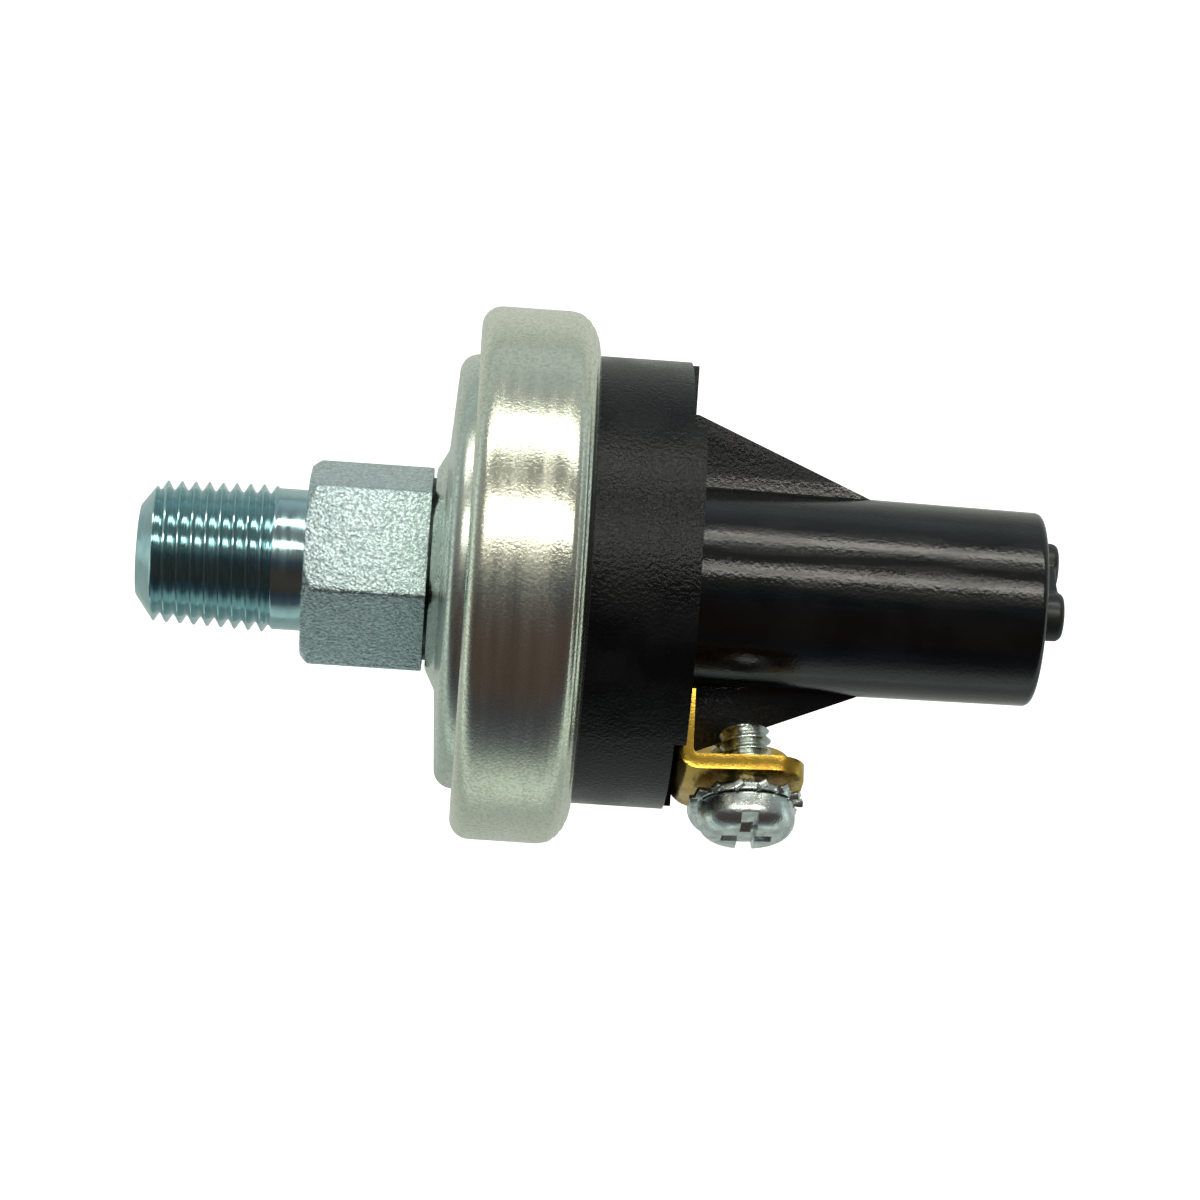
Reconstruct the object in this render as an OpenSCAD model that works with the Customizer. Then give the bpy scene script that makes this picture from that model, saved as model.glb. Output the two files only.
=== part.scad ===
// Diaphragm pressure switch with a tapered pipe port, a crimped steel cup and two screw terminals.
// Frame: millimetres. +Z runs along the axis from the port's end face (origin) to the moulded tower.
// The two screw terminals lie either side of -Y, and the gusset fins of the tower lie in the YZ plane.

/* [Port fitting] */
// Distance between neighbouring crests of the pipe thread, 27 to the inch
thread_pitch = 0.9407; // [0.9:0.0001:0.96]
// Full crests on the taper
thread_crests = 9; // [5:1:9]
// Crest radius at the first full crest
thread_tip_r = 4.87; // [4.7:0.01:4.95]
// Depth of the thread form
thread_depth = 0.62; // [0.4:0.01:0.7]
// Radius of the drilled pressure port
port_bore_r = 1.6; // [1.2:0.05:2]
// Width across the hexagon's flats, one half inch
hex_flats = 12.7; // [12.2:0.1:13]
// Height of the hexagon's face on the thread side
hex_z = 11.5; // [11:0.1:12.5]
// Turn of the hexagon about the axis
hex_turn = 15.4; // [0:0.1:60]

/* [Pressure cup and crimp ring] */
// Outer radius of the cup's wall
cup_r = 15; // [14.8:0.05:15]
// Thickness of the cup's sheet
cup_t = 1; // [0.8:0.05:1]
// Outer radius of the crimp ring
ring_r = 18.4; // [18.3:0.05:18.8]
// Height of the ring's lip face on the port side
ring_z = 22.5; // [22.4:0.01:22.6]

/* [Housing] */
// Radius of the moulded disc
disc_r = 15.46; // [15.3:0.02:15.5]
// Height of the disc's main face
face_z = 37.85; // [37.7:0.05:38.2]
// Depth of the two chord-shaped steps in the main face
step_depth = 0.8; // [0.4:0.1:1]
// Distance of each step from the axis
step_y = 10.6; // [10.3:0.1:11]
// Tower radius where it leaves the main face
tower_root_r = 7; // [6.8:0.01:7.2]
// Tower radius at its end
tower_end_r = 6.72; // [6.5:0.01:6.8]
// Height of the tower's end
tower_z = 62.05; // [61.9:0.05:64]
// Thickness of the two gusset fins
fin_t = 1.5; // [1:0.1:1.6]
// Distance from the axis that a fin reaches at the main face
fin_reach = 11.86; // [10:0.05:12.5]
// Height where a fin runs out on the tower
fin_top_z = 50; // [46:0.5:55]

/* [Terminals] */
// Angle of each terminal from the fin plane
terminal_angle = 22; // [21:0.5:26]
// Width of the brass strip
strip_w = 7.9; // [7:0.1:8]
// Thickness of the brass strip
strip_t = 1.05; // [0.8:0.05:1.1]
// Distance from the axis to the outside of the strip's bend
tab_r = 14.65; // [14.5:0.05:15]
// Height of the tab's free end
tab_top_z = 46.2; // [46:0.1:48]
// Lean of each tab towards the tower
tab_lean = 2.5; // [0:0.1:4]
// Height where the terminal screws' axes meet the switch's axis
screw_z = 41.8; // [41.6:0.1:42.2]
// Radius of a terminal screw's head
screw_head_r = 3.3; // [3:0.05:3.4]
// Teeth round each lock washer
washer_teeth = 14; // [10:1:16]

/* [Switching parts] */
// Gap between the open contacts
contact_gap = 0.75; // [0.5:0.05:0.75]
// Distance of the contact buttons from the axis
contact_r = 8.4; // [8:0.1:8.8]
// Radius of the piston's head on the diaphragm
piston_head_r = 8; // [6:0.1:8.5]
// Mean radius of the range spring's coils
spring_r = 3.6; // [3.5:0.05:3.7]
// Diameter of the range spring's wire
spring_wire = 0.9; // [0.7:0.05:0.9]
// Turns of the range spring
spring_turns = 9; // [7:1:11]
// Major radius of the calibration screw
calibration_r = 4.5; // [4.3:0.05:4.5]

/* [Hidden] */
$fn = 96;

fit_gap = 0.05;
past = 0.1;

// Port fitting
tip_face_r = 3.15;
tip_slope = 1.35;
first_crest_z = 1.51;
pipe_taper = 1 / 32;
crest_flat = 0.1;
neck_r = 4.87;
neck_z = 9.55;
hex_end_z = 19.9;
hex_corner_r = hex_flats / sqrt(3);
hex_chamfer_r = 11.7;
hex_chamfer_z = 9.72;
collar_r = 5.9;
spigot_r = 5;
stake_r = 6.2;
stake_t = 0.8;

// Cup, ring and the parts clamped between them
boss_z = 20.1;
boss_r = 7;
boss_foot_r = 8.3;
cup_face_z = 20.85;
cup_edge_z = 21.2;
cup_corner = 1.3;
ring_t = 1;
ring_corner = 1.4;
flange_z = ring_z + ring_t;
flange_r = 17.3;
gasket_z = flange_z + cup_t;
gasket_t = 0.5;
diaphragm_z = gasket_z + gasket_t;
diaphragm_t = 0.3;
housing_z = diaphragm_z + diaphragm_t;
roll_z = 28.6;
roll_end_z = 30.7;
roll_end_r = 15.6;
roll_inner_r = ring_r - ring_t;

// Housing
guide_z = 27.8;
guide_top_z = 29.3;
guide_r = 12.95;
cavity_r = 12.4;
roof_z = 34.5;
step_z = face_z - step_depth;
rib_z = step_z + 0.6;
spring_bore_r = 4.8;
thread_bore_z = 53.5;
plug_seat_z = 60.1;
plug_bore_r = 5.1;
tower_edge = 0.55;

// Terminals
groove_depth = 0.4;
strip_z = face_z - groove_depth;
strip_start_r = 9;
fin_gap = 0.1;
leg_w = 4;
foot_z = 33.7;
foot_t = roof_z - foot_z;
foot_r = 7.3;
foot_start = 10;
foot_end = 99;
bend_r = 1.5;
tab_corner = 2.3;
screw_r = 1.753;
screw_root_r = 1.38;
screw_pitch = 0.794;
screw_tip = 10.15;
head_seat = 15.8;
head_h = 2.3;
head_edge = 1.35;
recess_depth = 1.4;
recess_w = 1;
recess_l = 3.6;
slot_w = 1.2;
slot_depth = 0.9;
washer_gap = 0.1;
washer_r = 3.4;
washer_t = 0.5;
tooth_l = 0.54;
tooth_w = 0.72;
tooth_tilt = 35;

// Switching parts
piston_z = housing_z + 0.02;
piston_head_z = 26.7;
stem_r = 3;
bridge_z = 31.1;
bridge_t = 0.6;
bridge_w = 5;
button_r = 1.3;
button_t = 0.5;
button_shank_r = 0.8;
spigot_end_z = 33.7;
pin_r = 1.6;
spring_cup_t = 0.7;
spring_z = bridge_z + bridge_t + spring_cup_t;
seat_z = 50.9;
seat_top_z = 52.7;
adjuster_z = 53.9;
adjuster_top_z = 58.5;
adjuster_pitch = 1;

// Points of an arc about [x, y], from angle a to angle b
function arc(x, y, rx, ry, a, b, steps = 10) =
    [for (i = [0:steps]) let (t = a + (b - a) * i / steps) [x + rx * cos(t), y + ry * sin(t)]];

// Radius of the pipe thread's crests at height z
function crest_r(z) =
    min(thread_tip_r + (z - first_crest_z) * pipe_taper, tip_face_r + tip_slope * z);

// One V-shaped ridge of a thread: foot, crest, crest, foot
function ridge(z, top, root, flat, flank) = [
    [root, z - flat / 2 - flank], [top, z - flat / 2],
    [top, z + flat / 2], [root, z + flat / 2 + flank]
];

// Outline of the fitting's threaded end, from the axis out and back to the neck
function port_outline() = concat(
    [[0, 0], [tip_face_r, 0]],
    [for (k = [-1:thread_crests - 1])
        let (z = first_crest_z + k * thread_pitch, flank = thread_depth * tan(30))
        each ridge(z, crest_r(z), crest_r(z + crest_flat) - thread_depth, crest_flat, flank)],
    [[neck_r, neck_z], [neck_r, hex_z + past], [0, hex_z + past]]
);

// A plain tube between two heights
module tube(outer, inner, z0, z1) {
    translate([0, 0, z0])
        difference() {
            cylinder(h = z1 - z0, r = outer);
            translate([0, 0, -past]) cylinder(h = z1 - z0 + 2 * past, r = inner);
        }
}

// Puts a child drawn along +X at a terminal: side is 1 for the left one and -1 for the right one
module at_terminal(side) {
    rotate([0, 0, -90 - side * terminal_angle]) children();
}

// Puts a child drawn along +Z on a terminal screw's axis, with +Z pointing out of the switch
module at_screw(side) {
    at_terminal(side) translate([0, 0, screw_z]) rotate([0, 90 - tab_lean, 0]) children();
}

// Everything on the far side of the plane that stands gap mm beside the fin plane
module past_fin(side, gap) {
    size = 3 * tab_r;
    mirror([side > 0 ? 0 : 1, 0, 0]) translate([-gap, -size, strip_z - size / 2]) cube(size);
}

module port_fitting() {
    color([0.62, 0.73, 0.75])
        difference() {
            union() {
                rotate_extrude() polygon(port_outline());
                intersection() {
                    rotate([0, 0, hex_turn]) translate([0, 0, hex_z])
                        cylinder(h = hex_end_z - hex_z, r = hex_corner_r, $fn = 6);
                    translate([0, 0, hex_z + hex_chamfer_z]) sphere(r = hex_chamfer_r);
                }
                translate([0, 0, hex_end_z - past]) cylinder(h = boss_z - hex_end_z + past, r = collar_r);
                translate([0, 0, boss_z - past]) cylinder(h = cup_t + 2 * past, r = spigot_r);
                translate([0, 0, boss_z + cup_t]) cylinder(h = stake_t, r = stake_r);
            }
            translate([0, 0, -past])
                cylinder(h = boss_z + cup_t + stake_t + 2 * past, r = port_bore_r);
        }
}

module pressure_cup() {
    color([0.78, 0.79, 0.74])
        rotate_extrude() polygon(concat(
            [[spigot_r, boss_z], [boss_r, boss_z], [boss_foot_r, cup_face_z]],
            arc(cup_r - cup_corner, cup_edge_z + cup_corner, cup_corner, cup_corner, -90, 0),
            [[cup_r, flange_z], [flange_r, flange_z], [flange_r, gasket_z]],
            [[cup_r - cup_t, gasket_z], [cup_r - cup_t, cup_edge_z + cup_t + 0.25]],
            [[cup_r - cup_t - 0.2, cup_edge_z + cup_t], [boss_foot_r - 0.2, cup_face_z + cup_t]],
            [[boss_r - 0.2, boss_z + cup_t], [spigot_r, boss_z + cup_t]]
        ));
}

module crimp_ring() {
    color([0.74, 0.75, 0.7])
        rotate_extrude() polygon(concat(
            [[cup_r + fit_gap, ring_z]],
            arc(ring_r - ring_corner, ring_z + ring_corner, ring_corner, ring_corner, -90, 0),
            arc(roll_end_r, roll_z, ring_r - roll_end_r, roll_end_z - roll_z, 0, 90, 16),
            arc(roll_end_r, roll_z, roll_inner_r - roll_end_r, roll_end_z - roll_z - ring_t * 0.9, 90, 0),
            [[roll_inner_r, flange_z + 0.1], [roll_inner_r - 0.1, flange_z], [cup_r + fit_gap, flange_z]]
        ));
}

module flange_gasket() {
    color([0.12, 0.12, 0.12])
        tube(flange_r - fit_gap, cup_r - cup_t + fit_gap, gasket_z, diaphragm_z);
}

// A flat film with one half-round roll that lets its centre move
module diaphragm() {
    roll_r = 10.8;
    roll_mean = 1.3;
    color([0.78, 0.5, 0.16])
        rotate_extrude() polygon(concat(
            [[0, diaphragm_z]],
            arc(roll_r, diaphragm_z, roll_mean + diaphragm_t / 2, roll_mean + diaphragm_t / 2, 180, 360, 14),
            [[flange_r - fit_gap, diaphragm_z], [flange_r - fit_gap, housing_z]],
            arc(roll_r, diaphragm_z, roll_mean - diaphragm_t / 2, roll_mean - diaphragm_t / 2, 360, 180, 14),
            [[roll_r - roll_mean + diaphragm_t / 2, housing_z], [0, housing_z]]
        ));
}

module piston() {
    color([0.86, 0.83, 0.72])
        rotate_extrude() polygon([
            [0, piston_z], [piston_head_r - 0.4, piston_z], [piston_head_r, piston_z + 0.4],
            [piston_head_r, piston_head_z - 0.5], [piston_head_r - 0.3, piston_head_z],
            [stem_r, piston_head_z], [stem_r, bridge_z], [pin_r, bridge_z],
            [pin_r, spigot_end_z - 0.4], [pin_r - 0.4, spigot_end_z], [0, spigot_end_z]
        ]);
}

module piston_guide() {
    color([0.45, 0.27, 0.15])
        tube(guide_r, stem_r + fit_gap, guide_z, guide_top_z);
}

module contact_bridge() {
    color([0.8, 0.52, 0.3])
        translate([0, 0, bridge_z])
            difference() {
                union() {
                    translate([-contact_r, -bridge_w / 2, 0]) cube([2 * contact_r, bridge_w, bridge_t]);
                    for (x = [-contact_r, contact_r])
                        translate([x, 0, 0]) cylinder(h = bridge_t, d = bridge_w);
                }
                translate([0, 0, -past]) cylinder(h = bridge_t + 2 * past, r = pin_r + 0.02);
                for (x = [-contact_r, contact_r])
                    translate([x, 0, -past]) cylinder(h = bridge_t + 2 * past, r = button_shank_r);
            }
}

// Two silver buttons riveted through the ends of the bridge
module bridge_contacts() {
    color([0.86, 0.86, 0.84])
        for (x = [-contact_r, contact_r])
            translate([x, 0, bridge_z]) {
                translate([0, 0, bridge_t]) cylinder(h = button_t, r = button_r);
                cylinder(h = bridge_t, r = button_shank_r);
                translate([0, 0, -0.2]) cylinder(h = 0.2, r = 1.1);
            }
}

// Insulating cup between the bridge and the foot of the range spring
module spring_cup() {
    color([0.86, 0.83, 0.72])
        difference() {
            translate([0, 0, bridge_z + bridge_t]) {
                cylinder(h = spring_cup_t, r = spring_r + spring_wire);
                cylinder(h = spring_cup_t + 0.8, r = spring_r - spring_wire / 2 - 0.25);
            }
            translate([0, 0, bridge_z]) cylinder(h = 4, r = pin_r + 0.02);
        }
}

// Closed tube of the wire, swept round the helix ring by ring
module range_spring() {
    sides = 8;
    steps_per_turn = 20;
    steps = spring_turns * steps_per_turn;
    wire_r = spring_wire / 2;
    rise = seat_z - spring_z - spring_wire;
    lean = atan(rise / spring_turns / (2 * PI * spring_r));
    points = [
        for (i = [0:steps]) let (a = 360 * i / steps_per_turn, z = spring_z + wire_r + rise * i / steps)
            for (j = [0:sides - 1]) let (b = 360 * j / sides, u = wire_r * cos(b), v = wire_r * sin(b))
                [
                    (spring_r + u) * cos(a) + v * sin(lean) * sin(a),
                    (spring_r + u) * sin(a) - v * sin(lean) * cos(a),
                    z + v * cos(lean)
                ]
    ];
    walls = [
        for (i = [0:steps - 1], j = [0:sides - 1]) let (k = (j + 1) % sides)
            [i * sides + j, i * sides + k, (i + 1) * sides + k, (i + 1) * sides + j]
    ];
    caps = [[for (j = [sides - 1:-1:0]) j], [for (j = [0:sides - 1]) steps * sides + j]];
    color([0.7, 0.71, 0.72])
        polyhedron(points, [for (f = concat(walls, caps)) [for (n = [len(f) - 1:-1:0]) f[n]]]);
}

module spring_seat() {
    nose_r = spring_r - spring_wire / 2 - 0.25;
    color([0.72, 0.7, 0.6])
        rotate_extrude() polygon([
            [0, seat_z - 1.4], [nose_r - 0.4, seat_z - 1.4], [nose_r, seat_z - 1], [nose_r, seat_z],
            [calibration_r - 0.05, seat_z], [calibration_r - 0.05, seat_top_z - 0.3],
            [calibration_r - 0.35, seat_top_z], [0, seat_top_z]
        ]);
}

// Slotted headless screw that loads the range spring through the seat
module calibration_screw() {
    depth = 0.5;
    flank = depth * tan(30);
    crests = floor((adjuster_top_z - adjuster_z - 0.6) / adjuster_pitch);
    color([0.79, 0.66, 0.34])
        difference() {
            rotate_extrude() polygon(concat(
                [[0, seat_top_z + 0.02], [1.6, seat_top_z + 0.02], [2, seat_top_z + 0.4], [2, adjuster_z]],
                [[calibration_r - depth, adjuster_z]],
                [for (k = [0:crests - 1]) each ridge(
                    adjuster_z + 0.8 + k * adjuster_pitch, calibration_r, calibration_r - depth, 0.15, flank
                )],
                [[calibration_r - depth, adjuster_top_z], [0, adjuster_top_z]]
            ));
            translate([-0.6, -5, adjuster_top_z - 1.4]) cube([1.2, 10, 1.5]);
        }
}

// Soft plug over the calibration screw, with two finger lobes and a web between them
module seal_plug() {
    lobe_r = 1.7;
    lobe_edge = 0.3;
    lobe_top_z = tower_z + 1.45;
    web_top_z = lobe_top_z - 0.35;
    web_w = 2.4;
    lobe_a = [-3.12, -0.4];
    lobe_b = [0.96, 3];
    span = lobe_b - lobe_a;
    disc_top_z = tower_z - 0.15;
    color([0.06, 0.06, 0.065])
        union() {
            translate([0, 0, plug_seat_z]) cylinder(h = disc_top_z - plug_seat_z, r = plug_bore_r - fit_gap);
            for (p = [lobe_a, lobe_b])
                translate([p[0], p[1], disc_top_z - past]) {
                    cylinder(h = lobe_top_z - lobe_edge - disc_top_z + past, r = lobe_r);
                    translate([0, 0, lobe_top_z - lobe_edge - disc_top_z + past])
                        cylinder(h = lobe_edge, r1 = lobe_r, r2 = lobe_r - lobe_edge);
                }
            translate([lobe_a[0], lobe_a[1], disc_top_z - past])
                rotate([0, 0, atan2(span[1], span[0])])
                    translate([lobe_r / 3, -web_w / 2, 0])
                        cube([norm(span) - 2 * lobe_r / 3, web_w, web_top_z - disc_top_z + past]);
        }
}

// One gusset fin along +Y, with the low rib that runs on to the disc's edge
module fin() {
    root_y = tower_end_r - 1;
    rotate([90, 0, 90])
        translate([0, 0, -fin_t / 2])
            linear_extrude(height = fin_t) polygon([
                [root_y, step_z - past], [disc_r - 0.25, step_z - past], [disc_r - 0.25, rib_z],
                [fin_reach, rib_z], [fin_reach, face_z], [tower_root_r - 0.15, fin_top_z], [root_y, fin_top_z]
            ]);
}

module housing() {
    color([0.07, 0.07, 0.075])
        difference() {
            union() {
                rotate_extrude() polygon(concat(
                    [[guide_r + fit_gap, housing_z]],
                    [[flange_r, housing_z], [flange_r, roll_z]],
                    arc(
                        roll_end_r, roll_z, flange_r - roll_end_r,
                        roll_end_z - roll_z - ring_t * 0.9 - fit_gap, 0, 90
                    ),
                    [[disc_r, roll_end_z - ring_t], [disc_r, step_z], [disc_r - 0.02, step_z]],
                    [[spring_bore_r, step_z], [spring_bore_r, roof_z], [cavity_r, roof_z]],
                    [[cavity_r, guide_top_z], [guide_r + fit_gap, guide_top_z]]
                ));
                intersection() {
                    tube(disc_r, spring_bore_r, step_z - past, face_z);
                    translate([-disc_r, -step_y, 0]) cube([2 * disc_r, 2 * step_y, face_z + 1]);
                }
                rotate_extrude() polygon(concat(
                    [[spring_bore_r, face_z - 1], [tower_root_r, face_z - 1], [tower_root_r, face_z]],
                    arc(tower_end_r - tower_edge, tower_z - tower_edge, tower_edge, tower_edge, 0, 90, 6),
                    [[plug_bore_r, tower_z], [plug_bore_r, plug_seat_z]],
                    [[calibration_r + fit_gap, plug_seat_z], [calibration_r + fit_gap, thread_bore_z]],
                    [[spring_bore_r, thread_bore_z]]
                ));
                fin();
                mirror([0, 1, 0]) fin();
            }
            for (side = [1, -1]) {
                difference() {
                    at_terminal(side) translate([strip_start_r - fit_gap, -strip_w / 2 - fit_gap, strip_z])
                        cube([disc_r, strip_w + 2 * fit_gap, 3 * strip_t]);
                    past_fin(side, fin_t / 2);
                }
                at_terminal(side) translate([strip_start_r - fit_gap, -leg_w / 2 - fit_gap, roof_z - past])
                    cube([strip_t + 2 * fit_gap, leg_w + 2 * fit_gap, face_z - roof_z + past]);
            }
        }
}

// Point of the tab, at a distance out from the middle of its bend and a height along its lean
function tab_point(out, up) = [
    tab_r - bend_r + out * cos(tab_lean) - up * sin(tab_lean),
    strip_z + bend_r + out * sin(tab_lean) + up * cos(tab_lean)
];

// Outline of the strip and tab, seen along the strip's width
function terminal_outline() = concat(
    [[strip_start_r, strip_z]],
    arc(tab_r - bend_r, strip_z + bend_r, bend_r, bend_r, -90, tab_lean, 8),
    [tab_point(bend_r, tab_top_z - strip_z), tab_point(bend_r - strip_t, tab_top_z - strip_z)],
    arc(tab_r - bend_r, strip_z + bend_r, bend_r - strip_t, bend_r - strip_t, tab_lean, -90, 6),
    [[strip_start_r, strip_z + strip_t]]
);

// Strip with its bent and rounded tab, and the leg that passes through the housing's roof
module strip_and_tab() {
    half = strip_w / 2;
    difference() {
        union() {
            intersection() {
                translate([0, half, 0]) rotate([90, 0, 0])
                    linear_extrude(height = strip_w) polygon(terminal_outline());
                rotate([90, 0, 90]) linear_extrude(height = 2 * tab_r) polygon(concat(
                    [[-half, 0], [half, 0]],
                    arc(half - tab_corner, tab_top_z - tab_corner, tab_corner, tab_corner, 0, 90, 8),
                    arc(tab_corner - half, tab_top_z - tab_corner, tab_corner, tab_corner, 90, 180, 8)
                ));
            }
            translate([strip_start_r, -leg_w / 2, foot_z])
                cube([strip_t, leg_w, strip_z + strip_t / 2 - foot_z]);
        }
        translate([0, 0, screw_z]) rotate([0, 90 - tab_lean, 0])
            cylinder(h = 2 * tab_r, r = screw_r + fit_gap);
    }
}

// The whole bent piece of brass, with the inner foot that carries a fixed contact
module terminal(side) {
    difference() {
        at_terminal(side) strip_and_tab();
        past_fin(side, fin_t / 2 + fin_gap);
    }
    first = side > 0 ? -90 - foot_end : -90 + terminal_angle - foot_start;
    sweep = foot_end - terminal_angle + foot_start;
    difference() {
        rotate([0, 0, first]) rotate_extrude(angle = sweep)
            translate([foot_r, foot_z]) square([strip_start_r + strip_t - foot_r, foot_t]);
        translate([-side * contact_r, 0, foot_z - past]) cylinder(h = foot_t + 2 * past, r = button_shank_r);
    }
}

module left_terminal() {
    color([0.83, 0.62, 0.22]) terminal(1);
}

module right_terminal() {
    color([0.83, 0.62, 0.22]) terminal(-1);
}

// Two silver buttons riveted to the feet of the terminals
module fixed_contacts() {
    face = bridge_z + bridge_t + button_t + contact_gap;
    color([0.86, 0.86, 0.84])
        for (x = [-contact_r, contact_r]) {
            translate([x, 0, face]) cylinder(h = foot_z - face, r = button_r);
            translate([x, 0, foot_z]) cylinder(h = foot_t, r = button_shank_r);
        }
}

// Pan-head screw along +Z, drawn at its distance from the switch's axis
module terminal_screw() {
    depth = screw_r - screw_root_r;
    flank = depth * tan(30);
    crests = floor((head_seat - screw_tip - 0.5) / screw_pitch);
    difference() {
        rotate_extrude() polygon(concat(
            [[0, screw_tip], [screw_root_r - 0.1, screw_tip], [screw_root_r, screw_tip + 0.15]],
            [for (k = [0:crests - 1]) each ridge(
                screw_tip + 0.5 + k * screw_pitch, screw_r, screw_root_r, 0.1, flank
            )],
            [[screw_root_r, head_seat], [screw_head_r - 0.15, head_seat]],
            [[screw_head_r, head_seat + 0.15], [screw_head_r, head_seat + head_h - head_edge]],
            arc(screw_head_r - head_edge, head_seat + head_h - head_edge, head_edge, head_edge, 10, 90, 8),
            [[0, head_seat + head_h]]
        ));
        translate([0, 0, head_seat + head_h]) {
            for (turn = [0, 90])
                rotate([0, 0, turn])
                    cube([recess_w, recess_l, 2 * recess_depth], center = true);
            cube([slot_w, 3 * screw_head_r, 2 * slot_depth], center = true);
        }
    }
}

module left_screw() {
    color([0.8, 0.81, 0.82]) at_screw(1) terminal_screw();
}

module right_screw() {
    color([0.8, 0.81, 0.82]) at_screw(-1) terminal_screw();
}

// External-tooth lock washer along +Z, with each tooth twisted about its own length
module lock_washer() {
    middle = head_seat - washer_gap - washer_t / 2;
    tube(washer_r, screw_r + 0.15, middle - washer_t / 2, middle + washer_t / 2);
    for (i = [0:washer_teeth - 1])
        rotate([0, 0, 360 * i / washer_teeth])
            translate([washer_r - 0.04, 0, middle])
                rotate([tooth_tilt, 0, 0])
                    translate([0, -tooth_w / 2, -washer_t / 2]) cube([tooth_l, tooth_w, washer_t]);
}

module left_washer() {
    color([0.78, 0.79, 0.8]) at_screw(1) lock_washer();
}

module right_washer() {
    color([0.78, 0.79, 0.8]) at_screw(-1) lock_washer();
}

port_fitting();
pressure_cup();
crimp_ring();
flange_gasket();
diaphragm();
piston();
piston_guide();
contact_bridge();
bridge_contacts();
spring_cup();
range_spring();
spring_seat();
calibration_screw();
seal_plug();
housing();
left_terminal();
right_terminal();
fixed_contacts();
left_screw();
right_screw();
left_washer();
right_washer();
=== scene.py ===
"""Visual model of a pressure switch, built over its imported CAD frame.

The port points down at the origin and +Z runs from the port to the end of the tower. Sizes below are in
millimetres unless they say otherwise; meshes are written in metres. Pieces that need more shape than the
frame gives are made here and stand for their CAD nodes; the rest keep their CAD meshes and get procedural
materials.
"""

import logging
import math
from collections.abc import Callable, Iterable
from dataclasses import dataclass
from enum import Enum

import bmesh
import bpy
from mathutils import Matrix, Vector


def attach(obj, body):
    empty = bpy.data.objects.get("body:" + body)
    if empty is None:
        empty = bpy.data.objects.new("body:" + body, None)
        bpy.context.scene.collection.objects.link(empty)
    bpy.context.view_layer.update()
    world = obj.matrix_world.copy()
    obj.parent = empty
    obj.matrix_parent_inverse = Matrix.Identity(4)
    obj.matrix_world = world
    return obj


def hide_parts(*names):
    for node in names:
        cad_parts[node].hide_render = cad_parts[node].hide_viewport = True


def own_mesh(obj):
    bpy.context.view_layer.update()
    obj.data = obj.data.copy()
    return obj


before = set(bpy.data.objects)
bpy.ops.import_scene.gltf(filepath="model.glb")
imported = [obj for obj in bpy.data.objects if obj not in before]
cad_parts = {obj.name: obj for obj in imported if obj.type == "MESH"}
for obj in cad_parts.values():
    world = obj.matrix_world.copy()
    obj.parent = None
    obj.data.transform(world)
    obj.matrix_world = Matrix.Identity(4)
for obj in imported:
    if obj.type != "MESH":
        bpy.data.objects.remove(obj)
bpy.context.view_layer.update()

MM = 0.001
# Corners nearer than these, in metres, are one: on built shells, and on copies of CAD meshes.
MERGE = 2e-7
CAD_MERGE = 1e-6

# Where the terminal screws stand: degrees either side of -Y, height in millimetres, droop in degrees.
TERMINAL_TURN = 22
TERMINAL_Z = 41.8
TERMINAL_DROOP = 2.5

Colour = tuple[float, float, float]
Point = tuple[float, float]
Value = float | int | tuple | bpy.types.NodeSocket

log = logging.getLogger("pressure_switch")


class Side(Enum):
    """The two terminals, by the side of -Y they stand on."""

    LEFT = 1
    RIGHT = -1

    @property
    def label(self) -> str:
        """The side's name as the CAD nodes and bodies use it."""
        return self.name.lower()


class Body(Enum):
    """CAD bodies that the pieces ride on."""

    SWITCH = "switch_body"
    PISTON = "piston"
    PLUG = "seal_plug"
    LEFT_SCREW = "left_screw"
    RIGHT_SCREW = "right_screw"
    LEFT_WASHER = "left_washer"
    RIGHT_WASHER = "right_washer"


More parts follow.
